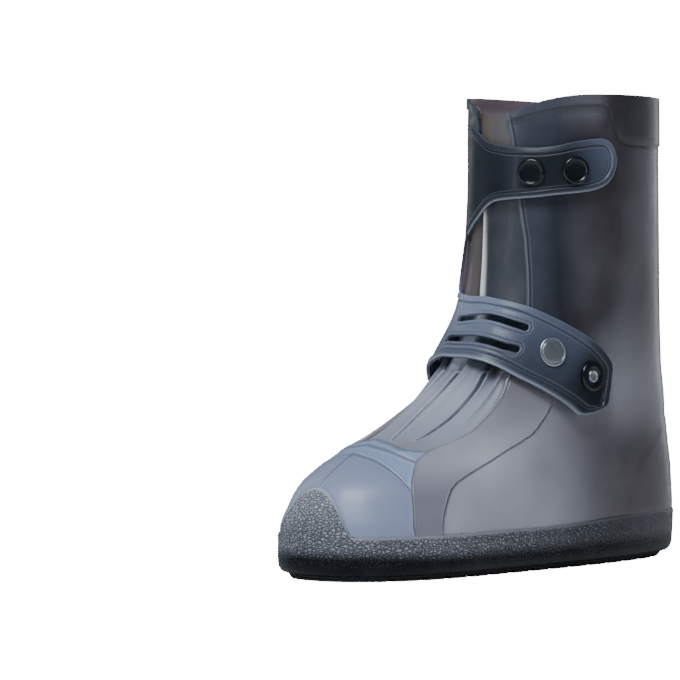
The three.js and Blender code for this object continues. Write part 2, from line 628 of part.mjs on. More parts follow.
// How far the gusset's outer face lies off the skin: tucked behind the flaps at its edges, and
// folded between them.
const foldLines = FOLDS.map((fold) => ({ at: smoothThrough(FOLD_LEVELS, fold.across), height: fold.height }));
const GUSSET_TUCKED = -WALL - GUSSET_GAP;
const SEAM_FADE = 12;
function gussetOff(s, z) {
  const open = smoothstep(Math.min(outerEdge(z) - s, s - innerEdge(z)), 0, FOLD_FADE);
  const seam = smoothstep(z, OPENING_SEAM[2].level * BOOT_HEIGHT, OPENING_SEAM[2].level * BOOT_HEIGHT + SEAM_FADE);
  const folds = foldLines.reduce((sum, fold) => {
    const away = (s - fold.at(z / BOOT_HEIGHT) * SOLE_WIDTH) / FOLD_WIDTH;
    return sum + fold.height * FOLD_HEIGHT * Math.exp(-away * away);
  }, 0);
  return GUSSET_TUCKED + open * seam * (folds - GUSSET_DEPTH);
}

// The gusset's own edges lie a tuck beyond the opening, and the inner one bridges its hollows.
const GUSSET_EDGES = [
  { level: 0.240, outer: 0.530, inner: 0.530 },
  { level: 0.340, outer: 0.520, inner: 0.610 },
  { level: 0.400, outer: 0.430, inner: 0.610 },
  { level: 0.460, outer: 0.420, inner: 0.520 },
  { level: 0.600, outer: 0.400, inner: 0.390 },
  { level: 0.720, outer: 0.330, inner: 0.300 },
  { level: 0.800, outer: 0.280, inner: 0.230 },
  { level: 1.000, outer: 0.190, inner: 0.205 },
];
const gussetOuter = smoothThrough(column(GUSSET_EDGES, 'level'), column(GUSSET_EDGES, 'outer'));
const gussetInner = smoothThrough(column(GUSSET_EDGES, 'level'), column(GUSSET_EDGES, 'inner'));
const GUSSET_COLUMNS = 22;
const GUSSET_ROWS = 14;
const GUSSET_FROM = 0.245;
function makeGusset() {
  const low = GUSSET_FROM * BOOT_HEIGHT;
  return sheetFrom(GUSSET_COLUMNS, GUSSET_ROWS, (i, j, face) => {
    const up = (j / GUSSET_ROWS) ** 1.5;
    const level = GUSSET_FROM + up * (1 - GUSSET_FROM);
    const s = THREE.MathUtils.lerp(-gussetInner(level), gussetOuter(level), i / GUSSET_COLUMNS) * SOLE_WIDTH;
    const z = low + up * (BOOT_HEIGHT - GUSSET_TOP_DROP - low);
    return lifted(s, z, gussetOff(s, z) - (1 - face) * GUSSET_THICKNESS);
  });
}

// A strap starts flush with the inner flap and rises over the outer one. Its tip stands off more.
function strapOff(s, tipStart, tipEnd, tipLift) {
  const rise = smoothstep(s, STRAP_RISE_START, STRAP_RISE_END);
  const flush = -STRAP_THICKNESS;
  return flush + rise * (STRAP_GAP - flush) + tipLift * smoothstep(s, tipStart, tipEnd);
}
const upperOff = (s) => strapOff(s, 0, 1, 0);
const TIP_LIFT_START = SNAPS[3].s * SOLE_WIDTH + SNAP_RADIUS;
const lowerOff = (s) => strapOff(s, TIP_LIFT_START, TIP_LIFT_START + TIP_LIFT_REACH, TIP_LIFT);

function snapPlace(snap) {
  const s = snap.s * SOLE_WIDTH;
  const z = snap.level * BOOT_HEIGHT;
  return { foot: lifted(s, z, 0), normal: skinNormal(s, z) };
}
function placeOnNormal(object, snap) {
  const { foot, normal } = snapPlace(snap);
  object.position.copy(foot);
  object.quaternion.setFromUnitVectors(new THREE.Vector3(0, 1, 0), normal);
  return object;
}

// A strap from its rows. Its columns run from the inner flap's edge to a rounded tip, and its rows
// are set so that the raised edge keeps its width.
const TIP_COLUMNS = [0.35, 0.62, 0.82, 0.94, 1];
const TIP_END = 0.3; // the height left at the last column, as a share
function makeStrap(strap, off, snaps, vents) {
  const across = column(strap.rows, 's').map((s) => s * SOLE_WIDTH);
  const top = smoothThrough(across, column(strap.rows, 'top').map((level) => level * BOOT_HEIGHT));
  const bottom = smoothThrough(across, column(strap.rows, 'bottom').map((level) => level * BOOT_HEIGHT));
  const root = across[0];
  const reach = across[across.length - 1];
  const tip = reach - strap.tipRound;
  const straight = Math.round((tip - root) / 7);
  const stations = Array.from({ length: straight + 1 }, (_, i) => root + (i / straight) * (tip - root));
  stations.push(...TIP_COLUMNS.map((share) => tip + share * strap.tipRound));
  const lip = STRAP_LIP_WIDTH;
  const fromEdge = [0, lip];
  const place = (i, j, face) => {
    const s = stations[i];
    const t = Math.max((s - tip) / strap.tipRound, 0);
    const half = ((top(s) - bottom(s)) / 2) * Math.max((1 - t ** 2.4) ** (1 / 2.4), TIP_END);
    const middle = (top(s) + bottom(s)) / 2;
    const rows = [...fromEdge.map((d) => Math.max(half - d, 0)), 0];
    const away = j <= 2 ? -rows[j] : rows[4 - j];
    const z = middle + away;
    const follow = (innerEdge(z) + 1.5 * CLEARANCE - root) * (1 - smoothstep(s, root, root + ROOT_REACH));
    const inset = Math.min(half - Math.abs(away), reach - s);
    const raised = STRAP_LIP * (1 - smoothstep(inset, 0, lip));
    return lifted(s + follow, z, off(s) + face * (STRAP_THICKNESS + raised));
  };
  let solid = solidFrom(sheetFrom(stations.length - 1, 4, place));
  for (const snap of snaps) {
    const radius = SHANK_RADIUS + 1.5 * CLEARANCE;
    const hole = placeOnNormal(new THREE.Mesh(new THREE.CylinderGeometry(radius, radius, 2 * SNAP_RADIUS, 14)), snap);
    hole.updateMatrix();
    solid = solid.subtract(solidFrom(hole.geometry.applyMatrix4(hole.matrix)));
  }
  for (const vent of vents) {
    const under = (s) => off(s) - STRAP_THICKNESS;
    const over = (s) => off(s) + 2 * STRAP_THICKNESS;
    const slot = wrapped(new THREE.Shape(ventPoints(vent)), under, over, 3 * VENT_WIDTH);
    solid = solid.subtract(solidFrom(slot));
  }
  return geometryOf(solid);
}

// A vent is a slot with round ends, along the strap.
function ventPoints(vent) {
  const centre = onPattern([vent.s, vent.level]);
  const angle = Math.atan(vent.slope);
  const radius = VENT_WIDTH / 2;
  const points = [];
  for (const side of [1, -1]) {
    for (const share of steps(3)) {
      const turn = -Math.PI / 2 + share * Math.PI + (side < 0 ? Math.PI : 0);
      points.push(new THREE.Vector2(side * (VENT_LENGTH / 2 - radius) + radius * Math.cos(turn), radius * Math.sin(turn)));
    }
  }
  return points.map((p) => p.rotateAround(new THREE.Vector2(), angle).add(centre));
}

// How high a strap's outer face reaches over a snap's foot, within the snap's cap.
function seatHeight(snap, off) {
  const { foot, normal } = snapPlace(snap);
  const heights = Array.from({ length: 12 }, (_, i) => {
    const s = snap.s * SOLE_WIDTH + SNAP_RADIUS * Math.cos((i / 6) * Math.PI);
    const z = snap.level * BOOT_HEIGHT + SNAP_RADIUS * Math.sin((i / 6) * Math.PI);
    return lifted(s, z, off(s) + STRAP_THICKNESS).sub(foot).dot(normal);
  });
  return Math.max(off(snap.s * SOLE_WIDTH) + STRAP_THICKNESS, ...heights) + 2 * CLEARANCE;
}

// A snap: a domed cap on the strap, a shank through it and a socket under it.
function makeSnap(snap, off) {
  const under = off(snap.s * SOLE_WIDTH) - 3 * CLEARANCE;
  const seat = seatHeight(snap, off);
  const profile = [
    [0, under - SOCKET_THICKNESS], [SOCKET_RADIUS, under - SOCKET_THICKNESS], [SOCKET_RADIUS, under],
    [SHANK_RADIUS, under], [SHANK_RADIUS, seat], [SNAP_RADIUS, seat],
    [SNAP_RADIUS, seat + SNAP_CAP_HEIGHT * 0.6], [SNAP_RADIUS * 0.84, seat + SNAP_CAP_HEIGHT],
    [0, seat + SNAP_CAP_HEIGHT * 1.15],
  ];
  return new THREE.LatheGeometry(profile.map(([r, h]) => new THREE.Vector2(r, h)), 14);
}

const rubber = new THREE.MeshStandardMaterial({ color: 0x4c4e58, roughness: 0.38, metalness: 0 });
const film = new THREE.MeshStandardMaterial({ color: 0x5b6069, roughness: 0.32, metalness: 0 });
const strapRubber = new THREE.MeshStandardMaterial({ color: 0x3a4150, roughness: 0.36, metalness: 0 });
const soleRubber = new THREE.MeshStandardMaterial({ color: 0x3f4048, roughness: 0.5, metalness: 0 });
const treadRubber = new THREE.MeshStandardMaterial({ color: 0x0c0f16, roughness: 0.55, metalness: 0 });
const finishes = {
  snap_black: new THREE.MeshStandardMaterial({ color: 0x0a0f18, roughness: 0.2, metalness: 0.2 }),
  snap_steel: new THREE.MeshStandardMaterial({ color: 0x8d97a6, roughness: 0.25, metalness: 0.9 }),
};

const cover = new THREE.Group();
function addPiece(name, geometry, material) {
  const mesh = new THREE.Mesh(geometry, material);
  mesh.name = name;
  cover.add(mesh);
  return mesh;
}

addPiece('tread', makeTread(), treadRubber);
addPiece('sole', makeSole(), soleRubber);
addPiece('upper', makeUpper(), rubber);
addPiece('gusset', makeGusset(), film);
addPiece('upper_strap', makeStrap(UPPER_STRAP, upperOff, SNAPS.slice(0, 2), []), strapRubber);
addPiece('lower_strap', makeStrap(LOWER_STRAP, lowerOff, SNAPS.slice(2), VENTS), strapRubber);
SNAPS.forEach((snap, i) => {
  const off = i < 2 ? upperOff : lowerOff;
  placeOnNormal(addPiece(snap.name, makeSnap(snap, off), finishes[snap.finish]), snap);
});

export default cover;
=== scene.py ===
# %% [markdown]
# # A high rain shoe cover
# This is a rubber cover that goes over a shoe in the rain. It is moulded in one go from a smoky,
# slightly see-through rubber, so every form on it is soft at its edges and a little shiny.
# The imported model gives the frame: sizes, places and the names of the parts.

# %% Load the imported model
import math
import bpy
import numpy as np
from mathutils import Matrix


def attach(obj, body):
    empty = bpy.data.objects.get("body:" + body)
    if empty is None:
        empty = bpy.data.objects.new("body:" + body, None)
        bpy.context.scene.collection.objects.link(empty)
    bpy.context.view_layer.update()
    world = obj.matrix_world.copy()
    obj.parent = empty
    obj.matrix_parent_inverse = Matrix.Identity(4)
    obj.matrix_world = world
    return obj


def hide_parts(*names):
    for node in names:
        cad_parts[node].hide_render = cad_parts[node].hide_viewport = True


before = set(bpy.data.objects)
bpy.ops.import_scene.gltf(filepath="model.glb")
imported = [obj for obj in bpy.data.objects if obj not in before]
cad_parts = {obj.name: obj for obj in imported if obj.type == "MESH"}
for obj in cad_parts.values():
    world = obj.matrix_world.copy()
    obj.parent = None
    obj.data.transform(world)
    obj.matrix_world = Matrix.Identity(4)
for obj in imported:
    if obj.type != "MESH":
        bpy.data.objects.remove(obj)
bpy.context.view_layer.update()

print("nodes:", sorted(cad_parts))

# %% [markdown]
# ## The boot's form
# A boot is drawn as a shoemaker draws a last: with sections at rising heights. Each section is a
# rounded outline with a toe, a heel and two widths. The sizes are in millimetres, and the columns
# are shares of the boot's height, length and width, as in the solid model.

# %% Sections of the boot
BOOT_HEIGHT, SOLE_LENGTH, SOLE_WIDTH = 268.0, 297.0, 106.0
# height, toe, heel, widest place, outer half, inner half, squareness of the toe and of the heel
SECTIONS = [
    (0.000, 0.478, 0.485, -0.202, 0.462, 0.462, 2.30, 3.30),
    (0.030, 0.492, 0.504, -0.202, 0.495, 0.495, 2.30, 3.30),
    (0.104, 0.493, 0.508, -0.195, 0.500, 0.500, 2.25, 3.30),
    (0.149, 0.481, 0.510, -0.162, 0.491, 0.486, 2.15, 3.20),
    (0.190, 0.461, 0.510, -0.111, 0.481, 0.472, 2.10, 3.10),
    (0.231, 0.407, 0.508, -0.047, 0.462, 0.453, 2.00, 3.00),
    (0.261, 0.352, 0.507, 0.013, 0.443, 0.439, 1.95, 2.90),
    (0.295, 0.266, 0.503, 0.088, 0.429, 0.425, 1.95, 2.80),
    (0.343, 0.175, 0.500, 0.155, 0.425, 0.420, 2.00, 2.65),
    (0.403, 0.101, 0.493, 0.195, 0.425, 0.420, 2.00, 2.45),
    (0.466, 0.047, 0.487, 0.222, 0.434, 0.429, 2.00, 2.30),
    (0.560, -0.007, 0.480, 0.246, 0.448, 0.443, 2.00, 2.15),
    (0.672, -0.034, 0.475, 0.256, 0.462, 0.462, 2.00, 2.05),
    (0.802, -0.047, 0.470, 0.259, 0.472, 0.472, 2.00, 2.00),
    (1.000, -0.054, 0.466, 0.259, 0.472, 0.472, 2.00, 2.00),
]


def smooth_through(knots, values):
    """A curve through the knots that never overshoots, for one value or a whole array."""
    x, y = np.asarray(knots, float), np.asarray(values, float)
    slope = np.diff(y) / np.diff(x)
    tangent = np.zeros_like(y)
    tangent[0], tangent[-1] = slope[0], slope[-1]
    a, b = slope[:-1], slope[1:]
    same = a * b > 0
    tangent[1:-1] = np.where(same, 2 * a * b / np.where(same, a + b, 1), 0)

    def at(where):
        w = np.clip(np.asarray(where, float), x[0], x[-1])
        i = np.clip(np.searchsorted(x, w, side="right") - 1, 0, len(x) - 2)
        step = x[i + 1] - x[i]
        t = (w - x[i]) / step
        rise = (3 - 2 * t) * t * t
        pull = step * t * (1 - t) * ((1 - t) * tangent[i] - t * tangent[i + 1])
        return y[i] * (1 - rise) + y[i + 1] * rise + pull
    return at


def column_of(rows, index):
    """A smooth curve through one column of a table, against its first column."""
    return smooth_through([row[0] for row in rows], [row[index] for row in rows])


def smoothstep(x, low, high):
    t = np.clip((np.asarray(x, float) - low) / (high - low), 0, 1)
    return t * t * (3 - 2 * t)


def window(x, low, full, still_full, end):
    """Rises smoothly from low to full, and falls again from still_full to end."""
    return smoothstep(x, low, full) * (1 - smoothstep(x, still_full, end))


def bell(x, middle, width):
    return np.exp(-((x - middle) / width) ** 2)


# %% [markdown]
# ## A flat pattern for a round boot
# A seam, a strap or a raised panel is easiest to place on a flat pattern, as for a paper boot:
# s is the distance round the boot from the middle of its front, and z is the height. The outer
# side has positive s. These functions roll the pattern up. They look places up in a table of
# finely drawn sections, so thousands of points take no time.

# %% Roll the pattern up
LEVELS = np.arange(0, BOOT_HEIGHT + 1)
STATIONS = 360
section = [column_of(SECTIONS, index)(LEVELS / BOOT_HEIGHT) for index in range(1, 8)]
toe, heel, widest, outer, inner, nose, seat = section
front = -toe * SOLE_LENGTH
back = heel * SOLE_LENGTH
middle = widest * SOLE_LENGTH
SKIN_X = np.zeros((2, len(LEVELS), STATIONS + 1))
SKIN_Y = np.zeros_like(SKIN_X)
GIRTH = np.zeros((2, len(LEVELS)))
angle = np.linspace(0, np.pi, 1201)
for side, half in enumerate((outer, inner)):
    for k in range(len(LEVELS)):
        ahead = angle <= np.pi / 2
        power = np.where(ahead, 2 / nose[k], 2 / seat[k])
        reach = np.where(ahead, front[k] - middle[k], back[k] - middle[k])
        x = half[k] * SOLE_WIDTH * np.abs(np.sin(angle)) ** power
        y = middle[k] + reach * np.abs(np.cos(angle)) ** power
        along = np.concatenate([[0], np.cumsum(np.hypot(np.diff(x), np.diff(y)))])
        GIRTH[side, k] = along[-1]
        even = np.linspace(0, along[-1], STATIONS + 1)
        SKIN_X[side, k] = np.interp(even, along, x)
        SKIN_Y[side, k] = np.interp(even, along, y)
print("half girth at the ball and the rim:", GIRTH[0, 28].round(1), GIRTH[0, -1].round(1), "mm")


def girth(z, side):
    return np.where(side, np.interp(z, LEVELS, GIRTH[1]), np.interp(z, LEVELS, GIRTH[0]))


def skin(s, z):
    """Points of the outer skin. Past the middle of the back, s runs on round the other side."""
    s, z = np.broadcast_arrays(np.asarray(s, float), np.asarray(z, float))
    side = (s < 0).astype(int)
    over = np.abs(s) - girth(z, side)
    s = np.where(over > 0, np.where(s < 0, 1, -1) * (girth(z, 1 - side) - over), s)
    side = (s < 0).astype(int)
    level = np.clip(z, 0, BOOT_HEIGHT)
    k = np.clip(level.astype(int), 0, len(LEVELS) - 2)
    up = level - k
    share = np.clip(np.abs(s) / girth(level, side), 0, 1) * STATIONS
    i = np.clip(share.astype(int), 0, STATIONS - 1)
    on = share - i

    def read(table):
        low = table[side, k, i] * (1 - on) + table[side, k, i + 1] * on
        high = table[side, k + 1, i] * (1 - on) + table[side, k + 1, i + 1] * on
        return low * (1 - up) + high * up
    return np.stack([np.where(side == 1, -1, 1) * read(SKIN_X), read(SKIN_Y), z], -1)


def skin_normal(s, z, step=1.2):
    s, z = np.broadcast_arrays(np.asarray(s, float), np.asarray(z, float))
    z = np.clip(z, 0, BOOT_HEIGHT)
    side = (s < 0).astype(int)
    low, high = np.clip(z - step, 0, BOOT_HEIGHT), np.clip(z + step, 0, BOOT_HEIGHT)
    share = s / girth(z, side)
    across = skin(s + step, z) - skin(s - step, z)
    up = skin(share * girth(high, side), high) - skin(share * girth(low, side), low)
    normal = np.cross(across, up)
    return normal / np.linalg.norm(normal, axis=-1, keepdims=True)


def lifted(s, z, off):
    """Points off the outer surface by a distance, outwards."""
    return skin(s, z) + skin_normal(s, z) * np.asarray(off, float)[..., None]


# %% [markdown]
# ## The lines of the pattern
# These are the lines that a pattern maker would draw: the rim, the top of the sole with its toe
# bumper, the front opening, the saddle panel beside it, and the arc of the toe cap.

# %% Draw the lines
WALL, WEB_WALL, STRAP_WALL = 1.6, 1.2, 2.0


def rim_height(s):
    away = np.abs(s)
    corner = 16 * (1 - np.clip(away / 60, 0, 1)) ** 2.2
    inner_drop = 2.5 * window(-s, 0, 60, 120, 175)
    return BOOT_HEIGHT - corner - 4 * smoothstep(away, 60, 175) - inner_drop


def band_height(s):
    """The lower edge of the band round the rim. At the back it drops to a deep patch."""
    away = np.abs(s)
    drop = smooth_through([0, 8, 20, 44, 66, 69, 71, 74, 79, 88, 102, 175],
                          [3.5, 4.0, 4.8, 5.5, 5.8, 7.0, 12.5, 21, 26, 27.6, 27.9, 27])
    return rim_height(s) - drop(away)


def sole_top(s):
    s = np.abs(s)
    side = 25 + 2.5 * smoothstep(s, 175, 262)
    return side + 26 * (1 - np.clip(s / 28, 0, 1) ** 2) ** 1.2


OUTER_EDGE = [  # height, and the opening's outer edge from the middle of the front
    (26, 64.0), (40, 59.5), (48.4, 55.7), (56.5, 49.8), (62.4, 44.4), (66.0, 41.8), (69.5, 41.9),
    (72, 44.6), (74.5, 47.4), (78, 48.2), (86, 45.3), (94.6, 42.4), (101, 40.0), (109.6, 36.4),
    (121, 35.2), (136, 32.6), (150, 28.1), (160, 26.0), (170, 24.0), (177, 22.6), (186, 21.1),
    (198, 18.3), (208, 16.4), (225, 13.8), (242, 11.2), (257, 7.6), (268, 6.0),
]
INNER_EDGE = [
    (26, 60.0), (40, 57.0), (48.4, 54.2), (56.5, 50.2), (62.4, 46.4), (66.0, 45.2), (69.5, 46.0),
    (72, 47.6), (74.5, 48.6), (78, 48.8), (86, 50.0), (94.6, 55.6), (101, 57.0), (104, 56.0),
    (109.6, 51.5), (114.2, 43.8), (117.9, 36.0), (121, 35.3), (136, 35.5), (146, 33.7),
    (154.1, 29.8), (158, 30.0), (165.4, 30.1), (173.7, 28.2), (182, 25.9), (190.3, 21.8),
    (197.8, 15.3), (204, 14.4), (242, 13.6), (257, 13.3), (268, 13.0),
]
edge_outer = column_of(OUTER_EDGE, 1)
edge_inner = column_of(INNER_EDGE, 1)
SADDLE_REAR = [(24, 83), (40, 81), (50, 81), (58, 87), (65, 94), (74, 98), (84, 90), (97, 80),
               (115, 72), (150, 48), (160, 45), (182, 41), (196, 39), (224, 38), (268, 36)]
saddle_rear = column_of(SADDLE_REAR, 1)
# Three lines cross the toe from saddle to saddle: the toe cap's arc, a fold line over the vamp,
# and the seam of the web. Each is given by its share of the way from the middle to the saddle.
toe_arc = smooth_through([0, 0.42, 0.73, 0.935, 1], [69, 65.4, 59.4, 51.7, 45.3])
cross_line = smooth_through([0, 0.05, 0.47, 1], [73.3, 73.0, 70.0, 64.3])
seam_line = smooth_through([0, 0.24, 0.62, 0.9, 1], [76.0, 74.1, 70.9, 69.9, 70.4])
print("opening at the lower strap:", float(edge_outer(136)), "and", float(edge_inner(136)), "mm")

# %% [markdown]
# ## Working as by hand
# Every piece starts as a flat grid, as a sheet of rubber on the bench. Faces are cut out of it in
# edit mode, and the sheet is then rolled on to the boot. These helpers do the steps that repeat.


# %% Helpers for sheets
def edit_mode(action=None):
    """Goes into edit mode, and selects all or nothing there if it's told to."""
    bpy.ops.object.mode_set(mode="EDIT")
    if action:
        bpy.ops.mesh.select_all(action=action)


def object_mode():
    if bpy.context.object and bpy.context.object.mode != "OBJECT":
        bpy.ops.object.mode_set(mode="OBJECT")


def deselect_all():
    object_mode()
    bpy.ops.object.select_all(action="DESELECT")


def pick_only(piece):
    deselect_all()
    piece.select_set(True)
    bpy.context.view_layer.objects.active = piece


def flat_sheet(name, across, up):
    """A grid on the bench. Its points sit at whole numbers: column, row."""
    deselect_all()
    bpy.ops.mesh.primitive_grid_add(x_subdivisions=across, y_subdivisions=up, size=1)
    sheet = bpy.context.object
    sheet.name = sheet.data.name = name
    edit_mode("SELECT")
    bpy.ops.transform.translate(value=(0.5, 0.5, 0))
    bpy.ops.transform.resize(value=(across, up, 1), center_override=(0, 0, 0))
    object_mode()
    return sheet


def points_of(piece, kind="vertices", key="co"):
    """The places of a mesh's points or faces, one row for each."""
    items = getattr(piece.data, kind)
    flat = np.zeros(len(items) * 3)
    items.foreach_get(key, flat)
    return flat.reshape(-1, 3)


def select_faces(piece, chosen):
    """Goes into edit mode with only these faces selected."""
    object_mode()
    for part in (piece.data.vertices, piece.data.edges):
        part.foreach_set("select", np.zeros(len(part), bool))
    piece.data.polygons.foreach_set("select", chosen)
    edit_mode()
    bpy.ops.mesh.select_mode(type="FACE")


def cut_faces(piece, unwanted):
    """Deletes the faces whose middle, as column and row, is unwanted."""
    pick_only(piece)
    centres = points_of(piece, "polygons", "center")
    chosen = unwanted(centres[:, 0], centres[:, 1])
    select_faces(piece, chosen)
    bpy.ops.mesh.delete(type="FACE")
    bpy.ops.mesh.select_mode(type="VERT")
    object_mode()
    print(piece.name, "lost", int(chosen.sum()), "faces")


def roll_up(piece, s, z, off, marks):
    """Moves each point of a flat sheet to its place on the boot, and marks the points."""
    bench = points_of(piece)
    i, j = bench[:, 0].round().astype(int), bench[:, 1].round().astype(int)
    place = lifted(s[j, i], z[j, i], off[j, i]) / 1000
    piece.data.vertices.foreach_set("co", place.ravel())
    for name, field in marks.items():
        layer = piece.data.attributes.new(name, "FLOAT", "POINT")
        layer.data.foreach_set("value", field[j, i].astype(np.float32))
    piece.data.update()


def weld(piece, gap=2e-5):
    pick_only(piece)
    edit_mode("SELECT")
    bpy.ops.mesh.remove_doubles(threshold=gap)
    object_mode()


def round_edges(piece, width, segments, limit):
    edge = piece.modifiers.new("rounded edge", "BEVEL")
    edge.width = width / 1000
    edge.segments = segments
    edge.limit_method = "ANGLE"
    edge.angle_limit = math.radians(limit)
    edge.use_clamp_overlap = True


def settle_shape(piece, angle):
    """Makes the modifiers real, in their order, and smooths the shading."""
    for modifier in list(piece.modifiers):
        bpy.ops.object.modifier_apply(modifier=modifier.name)
    bpy.ops.object.shade_smooth_by_angle(angle=math.radians(angle))


def finish_wall(piece, thickness, rounding, angle=50, inside_material=0):
    """Gives a sheet its wall, rounds the wall's edges and smooths the shading."""
    pick_only(piece)
    wall = piece.modifiers.new("wall", "SOLIDIFY")
    wall.thickness = thickness / 1000
    wall.offset = -1
    wall.use_quality_normals = True
    wall.material_offset = inside_material
    if rounding:
        round_edges(piece, rounding, 2, 55)
    settle_shape(piece, angle)
    print(piece.name, "has", len(piece.data.polygons), "faces")


def two_slots(piece):
    """A slot for the outside's material and one for the inside's."""
    for _ in range(2):
        piece.data.materials.append(None)


# %% [markdown]
# ## The upper
# The upper is one thin wall: foot, shaft and the two flaps of the front opening. Raised panels
# give it strength and look: a toe cap, a saddle beside the opening, a heel counter and a band
# round the rim. The sheet's columns and rows follow the lines of those panels, so that every
# raised edge is crisp, and the front faces above the seam are cut out for the opening.

# %% Lay out the upper's columns
FRONT, SADDLE, REST = 22, 18, 66  # columns from the middle to the opening, saddle, and back
REAR = FRONT + SADDLE + 1  # the column of the saddle's rear edge
SIDE = REAR + 1 + REST
share_front = np.arange(FRONT) / (FRONT - 1)
share_saddle = np.arange(1, SADDLE - 3) / (SADDLE - 4)
share_rest = np.arange(1, REST + 1) / REST


def side_columns(z, edge, side):
    """s of each column from the middle of the front to the middle of the back, for rows of z."""
    near = edge(z)
    rear = saddle_rear(z)
    far = girth(z, side)
    parts = [share_front[:, None] * (near - 0.8)]
    parts.append(np.stack([near, near + 0.7, near + 1.7, near + 2.4, near + 3.1]))
    parts.append(near + 3.1 + share_saddle[:, None] * (rear - 0.5 - near - 3.1))
    parts.append(np.stack([rear, rear + 0.5]))
    parts.append(rear + 0.5 + share_rest[:, None] * (far - rear - 0.5))
    return np.concatenate(parts).T


def all_columns(z):
    """s for a grid of z, once round the boot from the middle of the front, outer side first."""
    right = [side_columns(z[:, i], edge_outer, 0)[:, i] for i in range(SIDE + 1)]
    left = [side_columns(z[:, 2 * SIDE - i], edge_inner, 1)[:, i] for i in range(SIDE)]
    return np.concatenate([np.stack(right, 1), -np.stack(left, 1)[:, ::-1]], 1)


COLUMNS = 2 * SIDE
from_front = np.minimum(np.arange(COLUMNS + 1), COLUMNS - np.arange(COLUMNS + 1))
to_edge = np.clip(from_front / FRONT, 0, 1)


def settle(height_of_s, guess):
    """A row whose height depends on s, while s depends on the height."""
    z = np.full(COLUMNS + 1, float(guess))
    for _ in range(6):
        z = height_of_s(all_columns(z[None])[0])
    return z


# %% Lay out the upper's rows
def rows_between(low, high, pitch):
    count = max(1, int(round(float(np.mean(high - low)) / pitch)))
    return [low + (high - low) * k / count for k in range(1, count + 1)]


flat_row = np.ones(COLUMNS + 1)
lip_row = settle(sole_top, 30)
arc_row = toe_arc(to_edge)
seam_row = seam_line(to_edge)
band_row = settle(band_height, 255)
rim_row = settle(rim_height, 266)
SHAFT_BREAKS = [88, 104, 117.9, 126.0, 130.1, 138.4, 142.3, 154.1, 165.4, 182, 197.8, 234]
rows = [lip_row]
rows += rows_between(lip_row, arc_row - 0.5, 2.4)
toe_rows = len(rows)
rows += [arc_row, arc_row + 0.5]
cross_row = np.maximum(cross_line(to_edge), arc_row + 1.5)
rows += rows_between(arc_row + 0.5, cross_row - 0.5, 3.0)
rows += [cross_row]
cross_at = len(rows) - 1
rows += rows_between(cross_row, seam_row - 1.3, 2.2)
rows += [seam_row]
seam_at = len(rows) - 1
last = seam_row
for height in SHAFT_BREAKS:
    rows += rows_between(last, height * flat_row, 2.7)
    last = height * flat_row
rows += rows_between(last, band_row - 0.5, 2.7) + [band_row + 0.5]
band_at = len(rows) - 1
rows += rows_between(band_row + 0.5, rim_row, 3.0)
upper_z = np.array(rows)
upper_s = all_columns(upper_z)
print("upper grid:", upper_z.shape, "seam at row", seam_at)

# %% [markdown]
# The relief is low, 0.5 to 0.9 mm, but light catches it. Each raised form is a field over the
# sheet, and they add up to how far each point stands off the plain form.

# %% Raise the panels
SADDLE_RELIEF, SADDLE_THINS, BAND_RELIEF, TOE_RELIEF = 0.75, 0.65, 0.9, 0.45
COUNTER_RELIEF, SEAM_RELIEF, TROUGH_DEPTH = 0.6, 0.35, 0.9
row_index = np.arange(len(rows))[:, None] * np.ones(COLUMNS + 1)
distance_round = np.abs(upper_s)
in_saddle = (from_front >= FRONT) & (from_front <= REAR)
saddle = in_saddle * (SADDLE_RELIEF - SADDLE_THINS * smoothstep(upper_z, 105, 165))
toe_cap = (from_front < FRONT) * (row_index < toe_rows) * 1.0
rim_band = (row_index >= band_at) * 1.0
flap_lip = (from_front >= FRONT) & (from_front <= FRONT + 2)
inner_side = np.arange(COLUMNS + 1) > SIDE
strap_root = window(upper_z, 104, 110, 154, 158) + window(upper_z, 186, 192, 248, 252)
flap_lip = flap_lip * smoothstep(upper_z, 70, 80) * (0.6 + 0.4 * inner_side)
flap_lip *= 1 - inner_side * strap_root
seam_lip = (from_front <= FRONT) * (row_index > cross_at) * (row_index <= seam_at)
counter_line = smooth_through([24, 46, 58, 70, 79, 88], [0.285, 0.274, 0.245, 0.19, 0.134, -0.03])
from_back = 1 - distance_round / girth(upper_z, (upper_s < 0).astype(int))
inside_counter = (counter_line(upper_z) - from_back) * girth(upper_z, 0)
relief = np.maximum(saddle, BAND_RELIEF * rim_band) + TOE_RELIEF * toe_cap
relief = relief + flap_lip + SEAM_RELIEF * seam_lip
relief += COUNTER_RELIEF * smoothstep(inside_counter, -1.6, 1.6) * (upper_z < 90)
# A shallow trough runs beside the saddle's rear edge, and the same mark paints shade into it.
beside_trough = distance_round - saddle_rear(upper_z) - 1.0
trough = bell(beside_trough, 0, np.where(beside_trough < 0, 6.0, 9.0))
trough *= window(upper_z, 116, 150, 205, 250)
relief -= TROUGH_DEPTH * trough


FAR = 9.0  # a distance at which a drawn line no longer shows


def beside(rows_from, rows_to, line):
    """Distance in millimetres from a drawn line, for some rows of the front only."""
    away = np.full(upper_z.shape, FAR)
    chosen = (row_index >= rows_from) & (row_index <= rows_to) & (from_front <= FRONT)
    away[chosen] = np.abs(upper_z - line)[chosen]
    return away


